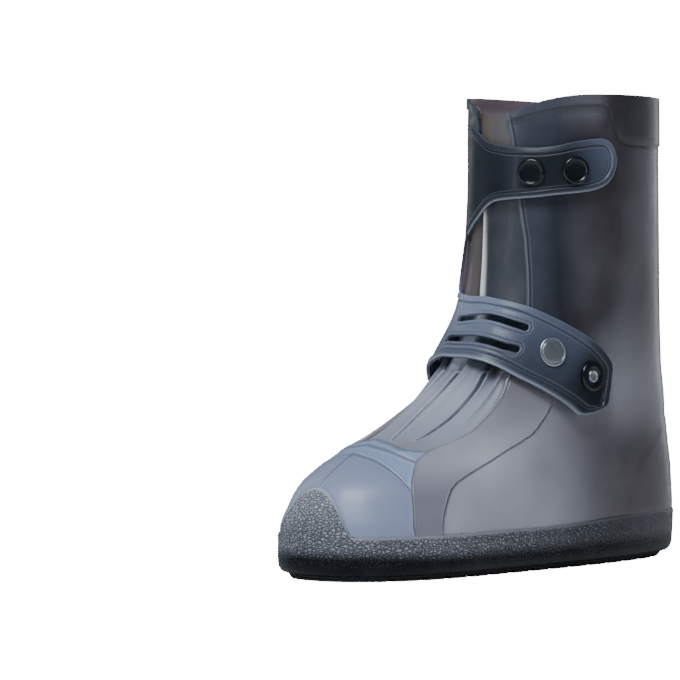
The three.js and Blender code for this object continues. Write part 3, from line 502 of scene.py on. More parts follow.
low_part = FAR * smoothstep(upper_z, 70 + 34 * (upper_s > 0), 84 + 34 * (upper_s > 0))
second_line = distance_round[:, [FRONT]] + 2.4
second_line[:, 0] = edge_outer(upper_z[:, FRONT]) + 2.4
flap_mark = np.abs(distance_round - second_line) + FAR * inner_side
flap_mark += FAR * (1 - smoothstep(upper_z, 84, 100)) + FAR * (row_index >= band_at)
line_mark = np.minimum.reduce([
    beside(0, cross_at, arc_row), beside(toe_rows, seam_at, cross_row),
    beside(cross_at, seam_at, seam_row),
    np.abs(distance_round - distance_round[:, [FRONT]]) + low_part,
    np.abs(distance_round - saddle_rear(upper_z)) + FAR * smoothstep(upper_z, 112, 150),
    flap_mark, distance_round + FAR * (row_index > toe_rows)])
# A highlight is painted along the outer flap's lip, and the saddle panel of the inner side is
# paler.
lip_place = distance_round - second_line + 1.4
flap_lip_highlight = bell(lip_place, 0, 0.8) * (1 - inner_side) * (from_front >= FRONT)
flap_lip_highlight *= smoothstep(upper_z, 68, 74) * (1 - 0.7 * smoothstep(upper_z, 108, 116))
inner_flap = inner_side * window(upper_z, 78, 104, 148, 178)
inner_flap = inner_flap * (1 - smoothstep(distance_round - saddle_rear(upper_z), -22, 2))
# Painted shade: a dark crease line is painted under the band round the rim.
under_band = band_height(upper_s) - 0.6 - upper_z
crease_shade = bell(under_band, 0, np.where(under_band > 0, 1.8, 0.7))
print("relief from", relief.min().round(2), "to", relief.max().round(2), "mm")

# %% [markdown]
# Under its visible edge the upper goes on down inside the sole to a floor, which shows through
# the open top. Three more rows make that, and the last loop is filled.

# %% Build the upper
under_z = np.array([8.3 * flat_row, 11.2 * flat_row, lip_row - 1.5])
under_off = np.array([-5.0, -2.1, -2.1])[:, None] * flat_row
z_all = np.concatenate([under_z, upper_z])
s_all = np.concatenate([np.array([all_columns(z[None])[0] for z in under_z]), upper_s])
off_all = np.concatenate([under_off, relief])
below = len(under_z)

place = skin(s_all, z_all)
# Painted light and shade: the rubber is painted pale at the foot, where light falls on it and
# comes through, and dark up the shaft; the side of the foot gets more painted light.
height_seen = z_all - 22 * smoothstep(place[..., 1], 20, 110)  # the heel stays dark lower down
painted_side_light = smoothstep(s_all, 52, 92) * (1 - smoothstep(place[..., 1], -10, 60))
shade = (0.72 + 0.26 * painted_side_light) * (1 - 0.96 * smoothstep(height_seen, 60, 140))
# Painted shade darkens it towards the heel, and painted light makes a paler cloud up the back of
# each side and a paler rim.
to_heel = smoothstep(place[..., 1], -70, 90)
shade *= 1 - 0.84 * to_heel * (1 - smoothstep(z_all, 60, 110))
shade += 0.09 * smoothstep(np.abs(s_all), 78, 100) * smoothstep(z_all, 110, 150)
shade += 0.17 * bell(np.abs(s_all), 120, 22) * smoothstep(z_all, 130, 185)
shade += 0.20 * smoothstep(z_all, 246, 262) * (1 - smoothstep(np.abs(s_all), 60, 72))


def with_floor(field, fill=0.0):
    return np.concatenate([np.full((below, COLUMNS + 1), fill), field])


marks = {
    "shade": shade,
    "saddle": with_floor(in_saddle * (1 - smoothstep(upper_z, 44, 66))),
    # Painted bluish highlight over the vamp, between the toe cap and the seam.
    "vamp_highlight": with_floor((from_front < FRONT) * (row_index >= toe_rows) * 1.0),
    "toe_cap": with_floor(toe_cap),
    "rim": with_floor(rim_band * (0.35 + 0.65 * smoothstep(distance_round, 66, 84))),
    "rim_inside": with_floor(smoothstep(upper_z - rim_height(upper_s), -9.5, -7.5)),
    "line": with_floor(np.minimum(line_mark, FAR), FAR),
    "trough": with_floor(trough),
    "flap": with_floor(smoothstep(upper_z, 112, 140) * (1 - smoothstep(distance_round, 34, 64))),
    "inner_flap": with_floor(inner_flap),
    "crease_shade": with_floor(crease_shade),
    "flap_lip_highlight": with_floor(flap_lip_highlight),
}
upper = flat_sheet("upper_skin", COLUMNS, len(z_all) - 1)
two_slots(upper)
cut_faces(upper, lambda i, j: (np.minimum(i, COLUMNS - i) < FRONT) & (j > seam_at + below))
roll_up(upper, s_all, z_all, off_all, marks)
weld(upper)
pick_only(upper)
edit_mode("DESELECT")
object_mode()
low = points_of(upper)[:, 2]
upper.data.vertices.foreach_set("select", low < low.min() + 0.0006)
edit_mode()
bpy.ops.mesh.edge_face_add()
object_mode()
finish_wall(upper, WALL, 0.45, inside_material=1)

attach(upper, "root")
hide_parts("upper")

# %% [markdown]
# ## The gusset
# Behind the opening lies a thin folded web. It lets the boot open wide for a shoe and still keeps
# the rain out. Folds like these are easiest as a field too: each ridge or valley is a line on the
# pattern, and the web rises or sinks beside it with a bell-shaped profile.

# %% Draw the folds
# Each fold is a line of stops: height on the boot, s, how far it stands out, and half width.
FOLDS = [
    [(74, -26, 0.2, 4), (90, -31, 1.2, 3), (106, -24, 1.4, 3), (118, -18, 0.8, 3),
     (150, -22, 0, 3)],
    [(74, -16, -0.3, 1.1), (80, -21, -1.2, 1.1), (90, -25, -2.0, 1.3), (106, -17, -2.5, 1.4),
     (116, -11, -2.2, 1.4), (150, -18, 0, 2)],
    [(74, -4, 0.2, 3), (88, -12, 1.3, 3), (102, -9, 1.5, 2.6), (114, -3.5, 1.5, 2.4),
     (150, -12, 0, 4)],
    [(74, 7.5, -0.3, 0.8), (80, 3, -1.1, 0.9), (93, -1.5, -2.1, 1.1), (108, 1.5, -2.7, 1.3),
     (116, 3.5, -2.6, 1.3), (150, -7, -1.2, 3.0), (168, -10.5, -1.8, 3.5), (182, -13, -1.8, 4.0),
     (200, -14, -1.6, 4.0), (236, -14, 0, 4)],
    [(76, 9, 0.2, 1.6), (86, 4.4, 1.2, 1.6), (99, 4.8, 1.6, 1.7), (114, 8.0, 1.8, 1.8),
     (150, -0.4, 1.9, 1.3), (163, -3.4, 1.9, 1.3), (182, -5.9, 1.8, 1.2), (204, -7.8, 1.7, 1.2),
     (236, -9, 0, 3)],
    [(76, 12, 0.1, 5), (90, 12, 0.8, 6), (112, 13, 1.0, 5), (130, 13, 0.3, 6), (150, 12, 0, 6)],
    [(75, 14.5, -0.4, 0.8), (81, 20.5, -1.2, 0.9), (94, 22.4, -2.2, 1.1), (105, 22.4, -2.8, 1.3),
     (114, 21.2, -3.0, 1.4), (126, 21, -1, 2), (150, 20, 0, 2)],
    [(92, 26, 0, 3), (104, 27, -1.4, 3), (116, 27, -2.4, 3.4), (130, 27, -1, 3), (150, 27, 0, 3)],
    [(84, 34, 0, 1.4), (95, 33.4, 1.0, 1.5), (102, 33.2, 2.0, 1.3), (114, 31.8, 2.6, 1.3),
     (126, 31, 1, 2), (150, 31, 0, 2)],
]
# A highlight is painted along this fold where it shows above the lower strap.
HIGHLIT_FOLD = 4  # this fold shows pale above the lower strap
PLEAT_GROOVES = (1, 3, 6)  # these folds have a sharp crease
GUSSET_EDGE = [(60, 57, 57), (91, 55, 64), (107, 45, 65), (123, 44, 55), (161, 42, 41),
               (193, 35, 32), (214, 30, 24), (268, 20, 22)]
gusset_outer = column_of(GUSSET_EDGE, 1)
gusset_inner = column_of(GUSSET_EDGE, 2)


def fold_field(s, z):
    inside = np.minimum(edge_outer(z) - s, s + edge_inner(z))
    open_part = smoothstep(inside, 0 - 1.5 * (z > 125), 5 - 3.5 * smoothstep(z, 120, 150))
    above_seam = smoothstep(z, 72, 80)
    total = np.zeros_like(s)
    for stops in FOLDS:
        heights, _, rises, widths = zip(*stops)
        place_at = column_of(stops, 1)(z)
        rise = np.interp(z, heights, rises, left=0, right=0)
        total += rise * bell(s, place_at, np.interp(z, heights, widths))
    sunk = 0.9 * (1 - smoothstep(z, 118, 140))
    return -2.5 + open_part * above_seam * (total - sunk), total


# %% Fold the gusset
ACROSS, UP = 144, 144
GUSSET_LOW, GUSSET_HIGH = 64.0, 257.0
gusset_z = np.linspace(GUSSET_LOW, GUSSET_HIGH, UP + 1)[:, None] + np.zeros(ACROSS + 1)
share = np.linspace(0, 1, ACROSS + 1)[None]
gusset_s = -gusset_inner(gusset_z) + share * (gusset_outer(gusset_z) + gusset_inner(gusset_z))
gusset_off, fold_mark = fold_field(gusset_s, gusset_z)
# Painted light and shade: the web is pale low down and dark higher up, and its raised folds are
# paler than its valleys.
gusset_shade = 0.76 - 0.74 * smoothstep(gusset_z, 98, 122) + 0.07 * np.clip(fold_mark, -2, 2)
between = smoothstep(gusset_z, 130, 155)
left_part = between * (1 - smoothstep(gusset_s, -10, -2))
gusset_shade += 0.10 * left_part + 0.14 * smoothstep(gusset_z, 232, 244)
# Painted highlight along the crest of that fold.
ridge_line = column_of(FOLDS[HIGHLIT_FOLD], 1)(gusset_z)
ridge_width = 1.7 - 1.0 * smoothstep(gusset_z, 160, 205)
ridge_highlight = bell(gusset_s, ridge_line, ridge_width)
# Painted light: behind the vents the web is painted pale in the middle, as if lit through them.
behind_vents = window(gusset_z, 114, 120, 146, 152)
gusset_shade += 0.85 * behind_vents * np.exp(-(gusset_s / 5.5) ** 4)
ridge_highlight *= between * (1 - smoothstep(gusset_z, 196, 222))
brown = left_part * (1 - 0.75 * ridge_highlight) + smoothstep(gusset_z, 226, 238)
pleat_line = np.full(gusset_s.shape, FAR)
for fold in PLEAT_GROOVES:
    away = np.abs(gusset_s - column_of(FOLDS[fold], 1)(gusset_z))
    pleat_line = np.minimum(pleat_line, 0.85 * away)
pleat_line += FAR * (1 + smoothstep(gusset_z, 113, 122) - smoothstep(gusset_z, 74, 79))
gusset = flat_sheet("gusset_web", ACROSS, UP)
two_slots(gusset)
roll_up(gusset, gusset_s, gusset_z, gusset_off,
        {"shade": gusset_shade, "brown": brown, "fold_highlight": ridge_highlight, "line": pleat_line})
finish_wall(gusset, WEB_WALL, 0, inside_material=1)
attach(gusset, "root")
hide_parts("gusset")

# %% [markdown]
# ## The straps
# Two straps grow out of the inner flap and button over the outer one. On the flat pattern each is
# a band with a rounded tip and a raised bead along its edge, with a fine groove inside the bead.
# The distance from every point to the band's outline tells where the bead and the groove go.


# %% Helpers for a strap
VENT_HALF = 1.9  # half the width of a vent
EDGE_STEPS = [0, 0.5, 1.2, 2.0, 2.6, 3.0, 3.35, 3.7, 4.05, 4.4, 4.9]  # rows beside the edge
BEAD_HEIGHT, BEAD_WIDTH = 0.8, 3.7
ROOT_OFF, STRAP_RISE = 0.06, 5.14  # off the skin at the root, and how much more at the tip


def distance_to(s, z, line):
    """The shortest distance from each point to a drawn line, on the flat pattern."""
    best = np.full(s.shape, 1e9)
    for (s0, z0), (s1, z1) in zip(line[:-1], line[1:]):
        along_s, along_z = s1 - s0, z1 - z0
        length = along_s ** 2 + along_z ** 2 + 1e-12
        t = np.clip(((s - s0) * along_s + (z - z0) * along_z) / length, 0, 1)
        best = np.minimum(best, np.hypot(s - s0 - t * along_s, z - z0 - t * along_z))
    return best


def bead(distance, height, width):
    """A broad raised edge, rounded outside, with a crisp step and a fine groove inside."""
    d = distance / width
    body = window(d, -0.1, 0.35, 0.86, 1.04)
    return height * (0.75 * body + 0.35 * bell(d, 0.76, 0.13)) - 0.3 * bell(d, 1.14, 0.10)


def loop_of(s, z, low, high, inside=slice(None)):
    """A closed loop on the pattern: along one row of a sheet and back along another."""
    there, back_again = (list(zip(s[row][inside], z[row][inside])) for row in (low, high))
    return there + back_again[::-1]


def cut_strap(name, table, tip_round, vents, lift_from, lift, flare, painted_light):
    """A strap as a sheet: its root lies on the inner flap and its tip on the outer side."""
    top = column_of(table, 1)
    bottom = column_of(table, 2)
    root, tip = table[0][0] - 5, table[-1][0]
    turn = np.linspace(0, 0.965 * np.pi / 2, 22)
    end_s = tip - tip_round + tip_round * np.sin(turn) ** (2 / 2.3)
    end_half = np.cos(turn) ** (2 / 2.3)
    stops = [root, tip - tip_round]
    for _, start, stop in vents:
        stops += [start, start + 0.5, start + 1.2, start + 2.2, stop - 2.2, stop - 1.2,
                  stop - 0.5, stop]
    stops = sorted(set(stops))
    body_s = [root]
    for a, b in zip(stops[:-1], stops[1:]):
        count = max(1, int(round((b - a) / 1.0)))
        body_s += [a + (b - a) * n / count for n in range(1, count + 1)]
    columns_s = np.concatenate([body_s, end_s[1:]])
    half_share = np.concatenate([np.ones(len(body_s)), end_half[1:]])
    centre = (top(columns_s) + bottom(columns_s)) / 2
    half = (top(columns_s) - bottom(columns_s)) / 2

    narrow = np.minimum(1, half / 13)  # near a narrow tip the edge's rows lie closer together
    lines = [-half + step * narrow for step in EDGE_STEPS]
    marks = []
    for share_line, start, stop in vents:
        at = (2 * share_line(columns_s) - 1) * half
        inside = np.minimum(columns_s - start, stop - columns_s)
        cap = np.sqrt(np.clip(1 - np.clip(1 - inside / VENT_HALF, 0, 1) ** 2, 0, 1))
        outside = np.clip(-inside / 8, 0, 1)
        gap = VENT_HALF * np.where(inside > 0, cap, outside * narrow ** 2)
        marks.append((at, gap, start, stop))
    marks.append(None)
    vent_rows = []
    previous = lines[-1]
    for mark in marks:
        target = half - EDGE_STEPS[-1] * narrow if mark is None else mark[0] - mark[1]
        count = max(2, int(round(float(np.mean(np.abs(target - previous))) / 0.9)))
        for n in range(1, count + 1):
            lines.append(previous + (target - previous) * n / count)
        if mark is not None:
            vent_rows.append((len(lines) - 1, mark[2], mark[3]))
            lines.append(mark[0] + mark[1])
            previous = lines[-1]
    lines += [half - step * narrow for step in reversed(EDGE_STEPS[:-1])]
    v = np.array(lines)
    z = centre + v * half_share
    s = columns_s + np.zeros_like(z)

    from_edge = distance_to(s, z, loop_of(s, z, 0, -1))
    grown = smoothstep(s, table[0][0] - 3, table[0][0] + 4)
    off = ROOT_OFF + STRAP_RISE * smoothstep(s, -14, 20)
    if lift:
        off += lift * smoothstep(s, lift_from, lift_from + 30)
    across = np.clip(v / half, -1, 1)
    off += flare * window(s, -46, -30, -12, 6) * smoothstep(-across, -0.6, 1)
    off += 0.7 * (1 - across ** 2) * grown
    off += grown * bead(from_edge, BEAD_HEIGHT, BEAD_WIDTH)
    # The root sinks into the flap, and a strap with vents does so sooner at its top edge.
    sunk_by = root + 8 + (9 * smoothstep(across, -0.5, 1) if vents else 0)
    off -= 1.6 * (1 - smoothstep(s, sunk_by - 8, sunk_by))
    line = np.minimum(np.abs(from_edge - 4.2), from_edge + 0.5) + FAR * (1 - grown)
    for row, start, stop in vent_rows:
        inside = (columns_s >= start - 1e-6) & (columns_s <= stop + 1e-6)
        from_vent = distance_to(s, z, loop_of(s, z, row, row + 1, inside))
        off += 0.55 * bell(from_vent, 0.5, 0.8)
        line = np.minimum(line, np.abs(from_vent - 1.7))
    # Painted light and shade: the tone along each strap, from its table, paints its highlights
    # and shade, its top half is painted paler than its lower half, and a faint painted highlight
    # lies on its bead.
    tone = column_of(painted_light, 1)(s) * (0.75 + 0.35 * across)
    rim = (1 - smoothstep(from_edge, 2.6, 3.6)) * (0.6 + 0.4 * across)
    # Painted highlight: a fine pale line along the strap's lower edge.
    low_edge_highlight = bell(from_edge, 0.5, 0.6) * smoothstep(-across, 0, 0.5) * grown

    piece = flat_sheet(name, len(columns_s) - 1, len(v) - 1)

    def in_vent(i, j):
        chosen = np.zeros(len(i), bool)
        at_s = np.interp(i, np.arange(len(columns_s)), columns_s)
        for row, start, stop in vent_rows:
            chosen |= (np.floor(j).astype(int) == row) & (at_s > start) & (at_s < stop)
        return chosen
    if vent_rows:
        cut_faces(piece, in_vent)
    roll_up(piece, s, z, off,
            {"shade": tone, "rim": rim, "line": line, "edge_highlight": low_edge_highlight})
    weld(piece)
    finish_wall(piece, STRAP_WALL, 0.4, 40)
    return piece


# %% Make the upper strap
UPPER_STRAP = [(-27.0, 253.0, 184.0), (-20.0, 249.0, 190.0), (-15.4, 246.6, 194.0),
               (-10.0, 244.0, 198.2), (-5.6, 241.6, 201.8), (0.7, 239.8, 205.6),
               (6.0, 238.9, 207.2), (13.2, 238.0, 208.0), (25.6, 237.6, 209.2),
               (36.0, 238.7, 210.6), (46.6, 241.1, 211.7), (55.7, 242.4, 212.9),
               (63.0, 242.9, 214.8), (71.6, 243.0, 216.5)]
# Painted light along the upper strap: dark for most of it, paler towards its tip.
UPPER_STRAP_LIGHT = [(-27, 0.06), (0, 0.02), (40, 0.0), (55, 0.24), (72, 0.62)]
upper_strap = cut_strap("upper_strap_band", UPPER_STRAP, 12, [], 0, 0, 0, UPPER_STRAP_LIGHT)
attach(upper_strap, "root")
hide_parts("upper_strap")

# %% [markdown]
# The lower strap has two long vents, so that the web behind it can breathe and bend. In the
# sheet, two rows part round each vent, and the faces between them are cut out.

# %% Make the lower strap
LOWER_STRAP = [(-44.0, 156.0, 105.0), (-35.5, 155.4, 109.5), (-24.4, 154.6, 113.6),
               (-14.0, 153.8, 116.8), (-8.2, 153.3, 117.9), (2.5, 152.8, 118.0),
               (14.1, 150.6, 116.0), (28.2, 147.2, 112.0), (42.2, 142.0, 106.9),
               (59.9, 135.1, 101.3), (77.8, 127.8, 95.8), (90.8, 121.5, 91.8),
               (102.8, 114.3, 88.0), (112.0, 104.5, 85.2), (118.0, 99.5, 84.6),
               (123.0, 97.0, 84.5)]
VENT_STOPS = [-40, -14, 4, 12, 24, 34, 130]
high_vent = smooth_through(VENT_STOPS, [0.63, 0.62, 0.64, 0.67, 0.66, 0.67, 0.62])
low_vent = smooth_through(VENT_STOPS, [0.28, 0.29, 0.29, 0.30, 0.30, 0.33, 0.30])
vents = [(low_vent, -14.0, 34.5), (high_vent, -13.5, 34.0)]
TIP_LIFT_FROM = 100
# Painted light along the lower strap: a pale highlight near its root, fading to dark at its tip.
LOWER_STRAP_LIGHT = [(-44, 0.95), (8, 0.85), (24, 0.50), (45, 0.34), (66, 0.34), (84, 0.08),
               (100, 0.0), (126, 0.0)]
lower_strap = cut_strap("lower_strap_band", LOWER_STRAP, 20, vents, TIP_LIFT_FROM, 2, 3.0,
                        LOWER_STRAP_LIGHT)
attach(lower_strap, "root")
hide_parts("lower_strap")

# %% [markdown]
# ## The sole side
# A thicker wall runs round the foot and climbs over the toe as a bumper. Its pebble grain is in
# the material, because thousands of tiny bumps are cheaper there than in the mesh.

# %% Make the sole side
AROUND = 300
turn_share = np.arange(AROUND + 1) / AROUND
even = np.where(turn_share <= 0.5, 2 * turn_share, 2 * turn_share - 2)
# More columns near the toe, where the bumper's arch rises.
even = np.sign(even) * (0.45 * np.abs(even) + 0.55 * np.abs(even) ** 1.8)


def sole_columns(z):
    return even * girth(z, (turn_share > 0.5).astype(int))


def sole_settle():
    z = np.full(AROUND + 1, 30.0)
    for _ in range(8):
        z = sole_top(sole_columns(z))
    return z


sole_line = sole_settle()
# The wall's profile, as height and distance off the skin: its lip below the top line, its plain
# side down to the rounded base, and the base's own heights.
LIP = [(-1.2, -1.0), (-0.1, 0.2), (0.0, 0.8), (-0.35, 1.15), (-1.0, 1.3), (-2.0, 1.3)]
BASE = [(7.0, 1.1), (5.2, 0.8), (3.9, 0.3), (3.2, -0.5), (3.0, -1.6), (3.0, -6.0)]
LEVELS_DOWN, SIDE_BOTTOM, SIDE_OFF = 22, 9.0, 1.25
side_top = sole_line - 2.0
profile = [(sole_line + drop, off) for drop, off in LIP]
profile += [(side_top + (SIDE_BOTTOM - side_top) * n / LEVELS_DOWN, SIDE_OFF)
            for n in range(1, LEVELS_DOWN + 1)]
profile += [(height + 0 * sole_line, off) for height, off in BASE]
sole_z = np.array([z for z, _ in profile])[::-1]
sole_off = np.array([off + 0 * sole_line for _, off in profile])[::-1]
sole_s = np.array([sole_columns(row) for row in sole_z])
from_lip = sole_line - sole_z
grain = smoothstep(from_lip, 0.6, 2.0) * smoothstep(sole_z, 4.5, 15.0)
grain *= 1 - 0.85 * smoothstep(skin(sole_s, sole_z)[..., 1], 15, 110)
sole_off += 0.35 * bell(from_lip, 1.6, 1.2) * (np.abs(sole_s) < 34)
# Painted light and shade: the sole is painted dark below a shadow line near its foot, paler near
# its top, and darker towards the heel.
shadow_line = 15.0 - 2.0 * smoothstep(np.abs(sole_s), 20, 100)
sole_tone = 0.55 * smoothstep(sole_z - shadow_line, -3.0, 5.0) + 0.45 * smoothstep(sole_z, 22, 46)
sole_tone *= 1 - 0.72 * smoothstep(skin(sole_s, sole_z)[..., 1], -80, 70)
sole = flat_sheet("sole_side", AROUND, len(sole_z) - 1)
roll_up(sole, sole_s, sole_z, sole_off, {"grain": grain, "shade": sole_tone})
weld(sole)
pick_only(sole)
bpy.ops.object.shade_smooth_by_angle(angle=math.radians(60))
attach(sole, "root")
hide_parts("sole")
print("sole side:", len(sole.data.polygons), "faces")


# %% [markdown]
# ## The snaps
# A press snap is a cap, a shank that goes through the strap, and a socket behind. The cap starts
# as a short cylinder. Its top face is inset and moved, again and again, which draws its profile,
# and a bevel rounds each ring. All faces are chosen by where they are.


# %% Helpers for turned parts
def choose_top(piece, radius):
    """In edit mode, selects only the highest flat face near the axis."""
    object_mode()
    chosen = [p.normal.z > 0.9 and math.hypot(p.center.x, p.center.y) < radius * 0.2
              for p in piece.data.polygons]
    select_faces(piece, chosen)


def turned(name, radius, foot, depth, rings, rounding=0.2):
    """A round part in millimetres: a cylinder whose top is inset and moved ring by ring."""
    deselect_all()
    bpy.ops.mesh.primitive_cylinder_add(vertices=56, radius=radius / 1000, depth=depth / 1000,
                                        location=(0, 0, (foot + depth / 2) / 1000))
    piece = bpy.context.object
    piece.name = name
    bpy.ops.object.transform_apply(location=True, rotation=True, scale=True)
    edit_mode()
    for inward, rise in rings:
        choose_top(piece, radius / 1000)
        bpy.ops.mesh.inset(thickness=inward / 1000)
        bpy.ops.transform.translate(value=(0, 0, rise / 1000))
    object_mode()
    round_edges(piece, rounding, 3, 18)
    settle_shape(piece, 40)
    return piece


def with_shank(cap, name):
    """Adds the shank and the socket behind the strap, as one piece with the cap."""
    shank = turned(name + "_shank", 3.0, -3.4, 3.6, [])
    socket = turned(name + "_socket", 5.0, -4.1, 1.1, [(1.4, -0.3), (1.0, 0.3)])
    pick_only(cap)
    shank.select_set(True)
    socket.select_set(True)
    bpy.ops.object.join()
    cap.name = cap.data.name = name
    return cap


# %% Turn one cap of each kind
dished_rings = [(0.7, 0.75), (0.55, 0.2), (0.5, -0.1), (0.6, -0.55), (2.6, -0.12)]
plain_rings = [(0.45, 0.25), (0.5, 0.05), (0.25, -0.5), (0.25, 0.0), (0.25, 0.5), (2.2, 0.22),
               (2.4, 0.1)]
open_rings = [(0.8, 0.8), (0.9, 0.15), (2.0, -0.1), (0.6, -0.5), (0.5, -0.3), (0.3, 0.0),
              (0.3, 0.7), (0.8, 0.1), (0.5, -0.5)]
dished = with_shank(turned("dished_cap", 8.0, 0.0, 1.3, dished_rings), "dished_snap")
plain = with_shank(turned("plain_cap", 8.3, 0.0, 1.0, plain_rings), "plain_snap")
opened = with_shank(turned("open_cap", 8.8, 0.0, 1.3, open_rings), "open_snap")
print("cap faces:", len(dished.data.polygons), len(plain.data.polygons))


# %% Place the four snaps
def place_snap(model, name, s, z, off, slot_name):
    """A copy of a snap with its own mesh, turned to stand square on the boot's side."""
    snap = model.copy()
    snap.data = model.data.copy()
    snap.name = name
    bpy.context.collection.objects.link(snap)
    up = skin_normal(s, z)
    side = skin(s + 1.0, z) - skin(s - 1.0, z)
    side -= up * (side @ up)
    side /= np.linalg.norm(side)
    forward = np.cross(up, side)
    foot = lifted(s, z, off) / 1000
    local = points_of(snap)
    moved = foot + local[:, :1] * side + local[:, 1:2] * forward + local[:, 2:] * up
    snap.data.vertices.foreach_set("co", moved.ravel())
    snap.data.update()
    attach(snap, "root")
    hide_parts(name.replace("_button", ""))
    return snap


OPEN_SNAP_PLACE = (91.0, 107.8, 5.85)
snaps_black = [
    place_snap(dished, "upper_snap_front_button", 24.0, 223.5, 5.75, "snap_black"),
    place_snap(dished, "upper_snap_rear_button", 46.9, 224.6, 5.75, "snap_black"),
    place_snap(opened, "lower_snap_rear_button", *OPEN_SNAP_PLACE, "snap_black"),
]
snap_steel = place_snap(plain, "lower_snap_front_button", 53.4, 121.4, 5.7, "snap_steel")
deselect_all()
for model in (dished, plain, opened):
    model.select_set(True)
bpy.ops.object.delete()

# %% [markdown]
# ## Finishes
# The rubber is smoky: thin and lit places look pale, thick and shaded places dark, and that light
# and shade is painted into the colour through each piece's shade mark. It drifts a little between
# a warm and a cool grey, as translucent rubber does. One node group makes that cloudy colour and
# a fine skin texture, and each piece uses it with its own colours.


# %% Helpers for materials
def node(tree, kind, **settings):
    made = tree.nodes.new(kind)
    for key, value in settings.items():
        setattr(made, key, value)
    return made


def feed(tree, target, values):
    """Sets a node's inputs to numbers and colours, or links them to other nodes' outputs."""
    for key, value in values.items():
        socket = target.inputs[key]
        if isinstance(value, bpy.types.NodeSocket):
            tree.links.new(value, socket)
        else:
            socket.default_value = (*value, 1) if socket.type == "RGBA" else value
    return target


def feeding(target, key):
    """The output that an input is linked to now."""
    return target.inputs[key].links[0].from_socket


def maths(tree, operation, *terms, clamp=False):
    step = node(tree, "ShaderNodeMath", operation=operation, use_clamp=clamp)
    return feed(tree, step, dict(enumerate(terms))).outputs[0]


def times(tree, a, b, clamp=False):
    return maths(tree, "MULTIPLY", a, b, clamp=clamp)


def blend_colours(tree, factor, a, b, kind="MIX"):
    step = node(tree, "ShaderNodeMix", data_type="RGBA", blend_type=kind)
    return feed(tree, step, {0: factor, 6: a, 7: b}).outputs[2]


def noise(tree, where, scale, detail=3.0, roughness=0.5):
    made = feed(tree, node(tree, "ShaderNodeTexNoise"),
                {"Vector": where, "Scale": scale, "Detail": detail, "Roughness": roughness})
    return made.outputs["Fac"]


def bump(tree, height, distance, target):
    """Turns a height into a bump of some metres, which bends the target's normal."""
    made = feed(tree, node(tree, "ShaderNodeBump"), {"Height": height, "Distance": distance})
    feed(tree, target, {"Normal": made.outputs["Normal"]})


def attribute(tree, name):
    return node(tree, "ShaderNodeAttribute", attribute_name=name).outputs["Fac"]


def new_group(name, inputs, outputs):
    group = bpy.data.node_groups.new(name, "ShaderNodeTree")
    for title, kind, value in inputs:
        socket = group.interface.new_socket(name=title, in_out="INPUT", socket_type=kind)
        socket.default_value = (*value, 1) if isinstance(value, tuple) else value
    for title, kind in outputs:
        group.interface.new_socket(name=title, in_out="OUTPUT", socket_type=kind)
    return group, node(group, "NodeGroupInput"), node(group, "NodeGroupOutput")


# %% The cloudy rubber group
COLOUR, NUMBER = "NodeSocketColor", "NodeSocketFloat"
cloudy, given, result = new_group(
    "cloudy rubber",
    [("Tone", NUMBER, 0.5), ("Dark", COLOUR, (0.03, 0.03, 0.04)),
     ("Pale", COLOUR, (0.3, 0.3, 0.35)), ("Warm", COLOUR, (0.09, 0.06, 0.07)),
     ("Drift", NUMBER, 0.35), ("Gloss", NUMBER, 0.35)],
    [("Color", COLOUR), ("Roughness", NUMBER), ("Height", NUMBER)])
spot = node(cloudy, "ShaderNodeTexCoord").outputs["Object"]
wide = noise(cloudy, spot, 11, 2)
patchy = noise(cloudy, spot, 38, 4)
fine = noise(cloudy, spot, 620, 2)
uneven = maths(cloudy, "SUBTRACT", patchy, 0.5)
tone = maths(cloudy, "ADD", given.outputs["Tone"], times(cloudy, uneven, 0.14), clamp=True)
smoke = blend_colours(cloudy, tone, given.outputs["Dark"], given.outputs["Pale"])
warmth = times(cloudy, given.outputs["Drift"],
               times(cloudy, maths(cloudy, "SUBTRACT", wide, 0.38), 4.0, clamp=True))
smoke = blend_colours(cloudy, warmth, smoke,
                      blend_colours(cloudy, 0.55, smoke, given.outputs["Warm"]))
grainy = maths(cloudy, "ADD", 0.965, times(cloudy, fine, 0.07))
speck = feed(cloudy, node(cloudy, "ShaderNodeCombineColor"), {k: grainy for k in range(3)})
feed(cloudy, result, {
    "Color": blend_colours(cloudy, 1.0, smoke, speck.outputs[0], "MULTIPLY"),
    "Roughness": maths(cloudy, "ADD", given.outputs["Gloss"], times(cloudy, uneven, 0.25)),
    "Height": maths(cloudy, "ADD", times(cloudy, patchy, 0.8), times(cloudy, fine, 0.035))})


# %% The drawn line group
# A moulded line is a fine groove between two low lips. The distance from the line drives it.
drawn, given, result = new_group(
    "drawn line", [("Distance", NUMBER, FAR), ("Width", NUMBER, 0.8)],
    [("Height", NUMBER), ("Lip", NUMBER), ("Groove", NUMBER)])
near = maths(drawn, "DIVIDE", given.outputs["Distance"], given.outputs["Width"])
groove = maths(drawn, "SUBTRACT", 1.0, near, clamp=True)
lip = maths(drawn, "SUBTRACT", 1.0,
            maths(drawn, "ABSOLUTE", maths(drawn, "SUBTRACT", near, 1.6)), clamp=True)
feed(drawn, result, {"Lip": lip, "Groove": groove,
                     "Height": maths(drawn, "SUBTRACT", times(drawn, lip, 0.8), groove)})


# %% Rubber materials
def shader_of(material):
    return material.node_tree.nodes["Principled BSDF"]


def new_material(name):
    material = bpy.data.materials.new(name)
    material.use_nodes = True
    return material, material.node_tree, shader_of(material)


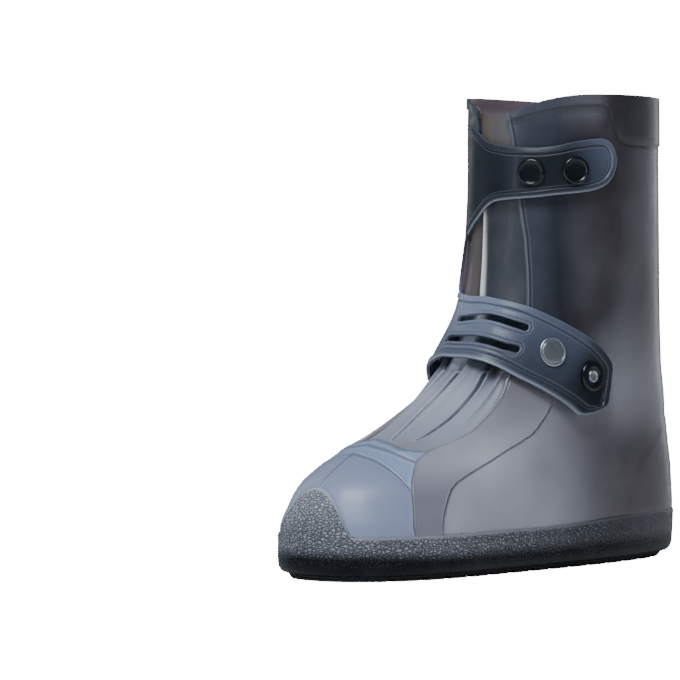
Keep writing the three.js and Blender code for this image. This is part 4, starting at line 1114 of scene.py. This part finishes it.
def rubber(name, dark, pale, warm, gloss, drift=0.6, coat=0.0, specular=0.5, tints=()):
    """Cloudy rubber. Each tint is a mark on the mesh, a share and the colour it moves towards."""
    material, tree, shader = new_material(name)
    smoke = feed(tree, node(tree, "ShaderNodeGroup", node_tree=cloudy),
                 {"Dark": dark, "Pale": pale, "Warm": warm, "Gloss": gloss, "Drift": drift,
                  "Tone": attribute(tree, "shade")}).outputs
    colour = smoke["Color"]
    for mark, share, tint in tints:
        colour = blend_colours(tree, times(tree, attribute(tree, mark), share), colour, tint)
    feed(tree, shader, {"Base Color": colour, "Roughness": smoke["Roughness"],
                        "Specular IOR Level": specular, "Coat Roughness": 0.12,
                        "Coat Weight": coat})
    bump(tree, smoke["Height"], 0.0006, shader)
    return material


def wear(piece, *materials):
    while len(piece.data.materials) < len(materials):
        piece.data.materials.append(None)
    for place, material in enumerate(materials):
        piece.data.materials[place] = material


def painted_glow(material, strength):
    """Painted light: the rubber glows in its own colour, for light that comes through the thin
    rubber.
    """
    shader = shader_of(material)
    feed(material.node_tree, shader, {"Emission Color": feeding(shader, "Base Color"),
                                      "Emission Strength": strength})


def draw_lines(material, width, depth, light, dark):
    """Adds the moulded lines to a rubber: a groove in its surface, with a painted highlight on
    its lips and painted shade in the groove.
    """
    tree, shader = material.node_tree, shader_of(material)
    line = feed(tree, node(tree, "ShaderNodeGroup", node_tree=drawn),
                {"Width": width, "Distance": attribute(tree, "line")}).outputs
    colour = feeding(shader, "Base Color")
    for part, strength, tint in (("Lip", light, (0.42, 0.46, 0.56)),
                                 ("Groove", dark, (0.03, 0.03, 0.045))):
        colour = blend_colours(tree, times(tree, line[part], strength), colour, tint)
    feed(tree, shader, {"Base Color": colour})
    bump(tree, line["Height"], depth, feeding(shader, "Normal").node)


# Painted shade darkens the crease under the band and the trough; painted highlights lighten the
# flap's lip and the vamp.
upper_rubber = rubber("smoky rubber", (0.020, 0.0175, 0.026), (0.50, 0.505, 0.60),
                      (0.062, 0.038, 0.044), 0.42, coat=0.07,
                      tints=[("saddle", 0.6, (0.10, 0.10, 0.145)),
                             ("rim", 0.6, (0.012, 0.012, 0.020)),
                             ("flap", 0.7, (0.016, 0.026, 0.045)),
                             ("inner_flap", 0.8, (0.17, 0.20, 0.29)),
                             ("crease_shade", 0.75, (0.004, 0.006, 0.012)),
                             ("flap_lip_highlight", 0.35, (0.60, 0.63, 0.70)),
                             ("trough", 0.7, (0.005, 0.008, 0.015)),
                             ("vamp_highlight", 0.6, (0.22, 0.34, 0.58)),
                             ("toe_cap", 0.65, (0.19, 0.25, 0.42))])
draw_lines(upper_rubber, 0.65, 0.00035, 0.13, 0.55)
# The inside is painted paler than the outer skin and glows, as painted light coming through the
# wall.
inside_rubber = rubber("inside rubber", (0.14, 0.12, 0.15), (0.26, 0.23, 0.26),
                       (0.12, 0.07, 0.07), 0.45,
                       tints=[("rim_inside", 0.7, (0.06, 0.042, 0.055))])
painted_glow(inside_rubber, 0.5)
gusset_rubber = rubber("thin web rubber", (0.010, 0.014, 0.024), (0.30, 0.325, 0.405),
                       (0.07, 0.045, 0.042), 0.50, coat=0.05,
                       tints=[("brown", 0.6, (0.085, 0.070, 0.062)),
                              ("fold_highlight", 0.85, (0.66, 0.66, 0.66))])
# A faint painted glow on the web, as light coming through it.
painted_glow(gusset_rubber, 0.3)
strap_rubber = rubber("strap rubber", (0.005, 0.008, 0.014), (0.19, 0.225, 0.33),
                      (0.016, 0.017, 0.028), 0.40, drift=0.3, coat=0.06, specular=0.3,
                      tints=[("rim", 0.07, (0.16, 0.19, 0.26)),
                             ("edge_highlight", 0.45, (0.42, 0.46, 0.56))])
draw_lines(strap_rubber, 0.5, 0.0002, 0.12, 0.55)
# The web's pleats get painted highlights on their lips and deep painted shade in their creases.
draw_lines(gusset_rubber, 0.95, 0.0006, 0.6, 0.8)
wear(upper, upper_rubber, inside_rubber)
wear(gusset, gusset_rubber, inside_rubber)
wear(upper_strap, strap_rubber)
wear(lower_strap, strap_rubber)
print("rubber on the upper, web and straps")

# %% [markdown]
# The sole side has a leather-like pebble grain from the mould. Small rounded cells with narrow
# valleys between them come from a Voronoi pattern, and an attribute fades it out at the edges
# and towards the heel.

# %% Sole and tread materials
sole_material = rubber("pebbled rubber", (0.001, 0.002, 0.006), (0.46, 0.47, 0.55),
                       (0.03, 0.026, 0.03), 0.44, drift=0.3, specular=0.12)
tree, shader = sole_material.node_tree, shader_of(sole_material)
where = node(tree, "ShaderNodeTexCoord").outputs["Object"]
warp = feed(tree, node(tree, "ShaderNodeTexNoise"), {"Vector": where, "Scale": 300})
shift = feed(tree, node(tree, "ShaderNodeVectorMath", operation="SCALE"),
             {0: warp.outputs["Color"], "Scale": 0.0022})
moved = feed(tree, node(tree, "ShaderNodeVectorMath", operation="ADD"),
             {0: where, 1: shift.outputs[0]})
flatter = feed(tree, node(tree, "ShaderNodeVectorMath", operation="MULTIPLY"),
               {0: moved.outputs[0], 1: (1.0, 1.0, 1.7)})  # cells are wider than high
cells = feed(tree, node(tree, "ShaderNodeTexVoronoi", feature="DISTANCE_TO_EDGE"),
             {"Vector": flatter.outputs[0], "Scale": 400})
pebble = maths(tree, "POWER", times(tree, cells.outputs["Distance"], 2.4, clamp=True), 0.6)
grain_share = attribute(tree, "grain")
bump(tree, times(tree, pebble, grain_share), 0.0014, feeding(shader, "Normal").node)
# A painted highlight lies on the crown of each pebble, and painted shade in the valleys between
# them.
pebble_highlight = times(tree, maths(tree, "POWER", pebble, 3.0), grain_share)
pebble_highlight = times(tree, pebble_highlight, times(tree, attribute(tree, "shade"), 0.8))
whole = blend_colours(tree, pebble_highlight, feeding(shader, "Base Color"), (0.50, 0.53, 0.62))
valley_shade = times(tree, maths(tree, "SUBTRACT", 0.70, pebble, clamp=True), grain_share)
feed(tree, shader, {"Base Color": blend_colours(tree, valley_shade, whole, (0.012, 0.014, 0.022))})
wear(sole, sole_material)

tread_material = rubber("tread rubber", (0.006, 0.007, 0.01), (0.02, 0.021, 0.026),
                        (0.015, 0.013, 0.014), 0.55)
wear(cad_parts["tread"], tread_material)


# %% [markdown]
# ## Metal and lacquer for the snaps
# Three caps are black lacquer, one of them with a metal post in its open middle, and the fourth
# is bare grey metal. All have fine scratches.


# %% Snap materials
def snap_finish(name, colour, metallic, gloss, coat):
    material, tree, shader = new_material(name)
    spot = node(tree, "ShaderNodeTexCoord").outputs["Object"]
    scratch = noise(tree, spot, 2600, 2, 0.7)
    darker = tuple(0.72 * c for c in colour)
    feed(tree, shader, {
        "Metallic": metallic, "Coat Weight": coat, "Coat Roughness": 0.06,
        "Specular IOR Level": 0.35,
        "Base Color": blend_colours(tree, noise(tree, spot, 260), colour, darker),
        "Roughness": maths(tree, "ADD", gloss - 0.05, times(tree, scratch, 0.12))})
    bump(tree, scratch, 0.00002, shader)
    return material


black_finish = snap_finish("black lacquer", (0.001, 0.003, 0.007), 0.0, 0.26, 0.25)
steel_finish = snap_finish("grey metal", (0.50, 0.55, 0.62), 1.0, 0.3, 0.0)
for snap in snaps_black:
    wear(snap, black_finish, steel_finish)
# The open cap shows its metal post: the faces near its axis wear the metal.
open_snap = snaps_black[-1]
axis_foot = lifted(*OPEN_SNAP_PLACE) / 1000
axis_way = skin_normal(*OPEN_SNAP_PLACE[:2])
for face in open_snap.data.polygons:
    from_foot = np.array(face.center) - axis_foot
    height = from_foot @ axis_way
    if height > 0 and np.linalg.norm(from_foot - height * axis_way) < 0.0037:
        face.material_index = 1
wear(snap_steel, steel_finish)

# %% [markdown]
# ## Floor, light and camera
# The cover stands on a plain pale floor. A large cool light stands high in front, with a low one
# at the left that lifts the toe. Two strips behind draw the bright rims at the outline, and a
# light under the floor shows the tread.

# %% Floor
deselect_all()
bpy.ops.mesh.primitive_plane_add(size=60)
floor = bpy.context.object
floor.name = "floor"
floor.location.z = -0.0003  # just under the tread, so that the two faces don't flicker
SEEN_GLOW = 16.0  # what the camera sees of the floor and the backdrop glows white
pale, tree, floor_shader = new_material("pale floor")
ray = node(tree, "ShaderNodeLightPath").outputs
# Seen from below the floor is clear, and the light under it reaches the tread alone: only rays
# that start within a millimetre of the floor pass down through it.
under_floor = node(tree, "ShaderNodeNewGeometry").outputs["Backfacing"]
short_ray = maths(tree, "LESS_THAN", ray["Ray Length"], 0.0012)
clear = maths(tree, "ADD", under_floor, short_ray, clamp=True)
feed(tree, floor_shader, {
    "Base Color": (0.9, 0.9, 0.9), "Roughness": 0.8, "Specular IOR Level": 0.0,
    "Emission Color": (1, 1, 1),
    "Emission Strength": times(tree, ray["Is Camera Ray"], SEEN_GLOW),
    "Alpha": maths(tree, "SUBTRACT", 1.0, clear)})
wear(floor, pale)

# %% World and lights
AZIMUTH = math.radians(41)
TO_CAMERA = np.array([math.sin(AZIMUTH), -math.cos(AZIMUTH), 0])
RIGHT = np.array([math.cos(AZIMUTH), math.sin(AZIMUTH), 0])
UP_WAY = np.array([0, 0, 1.0])
BOOT_CENTRE = 0.14 * UP_WAY

world = bpy.data.worlds.new("studio")
bpy.context.scene.world = world
world.use_nodes = True
tree = world.node_tree
seen = node(tree, "ShaderNodeLightPath").outputs["Is Camera Ray"]
feed(tree, tree.nodes["Background"], {
    "Color": (0.97, 0.98, 1), "Strength": maths(tree, "ADD", 0.15, times(tree, seen, SEEN_GLOW))})


def soft_light(name, to_camera, to_right, up, size, power, colour):
    """A square or long soft light, aimed at the middle of the boot."""
    place = TO_CAMERA * to_camera + RIGHT * to_right + UP_WAY * up
    deselect_all()
    bpy.ops.object.light_add(type="AREA", location=place)
    lamp = bpy.context.object
    lamp.name = name
    lamp.data.shape = "RECTANGLE"
    lamp.data.size, lamp.data.size_y = size
    lamp.data.energy = power
    lamp.data.color = colour
    from_centre = BOOT_CENTRE - place
    flat = math.hypot(from_centre[0], from_centre[1])
    lamp.rotation_euler = (math.pi / 2 + math.atan2(from_centre[2], flat), 0,
                           math.atan2(from_centre[1], from_centre[0]) - math.pi / 2)


# name, metres towards the camera, to its right and up, size, watts and colour
for lamp_row in (
        ("high key", 0.90, -0.20, 1.40, (0.7, 0.7), 27, (0.88, 0.94, 1.0)),
        ("low left", 0.95, -0.95, 0.25, (0.25, 0.8), 3, (0.80, 0.90, 1.0)),
        ("right edge", -1.15, 0.80, 0.40, (0.16, 1.2), 2.6, (0.88, 0.94, 1.0)),
        ("under light", 0.0, 0.0, -0.80, (0.8, 0.8), 14, (0.95, 0.97, 1.0)),
        ("left edge", -1.10, -0.80, 0.55, (0.14, 1.2), 1.4, (0.95, 0.97, 1.0))):
    soft_light(*lamp_row)

# %% Camera
DISTANCE, EYE_HEIGHT, ASIDE = 3.400, 0.268, -0.078
FOCAL_PIXELS, FRAME_PIXELS, HORIZON_ROW = 6000.0, 680.0, 94.0
deselect_all()
bpy.ops.object.camera_add()
camera = bpy.context.object
camera.location = TO_CAMERA * DISTANCE + RIGHT * ASIDE + UP_WAY * EYE_HEIGHT
pitch = math.atan((FRAME_PIXELS / 2 - HORIZON_ROW) / FOCAL_PIXELS)
camera.rotation_euler = (math.pi / 2 - pitch, 0, AZIMUTH)
camera.data.sensor_width = 36
camera.data.lens = 36 * FOCAL_PIXELS / FRAME_PIXELS
camera.data.clip_end = 100
bpy.context.scene.camera = camera
print("camera at", [round(v, 3) for v in camera.location], "lens", round(camera.data.lens, 1))
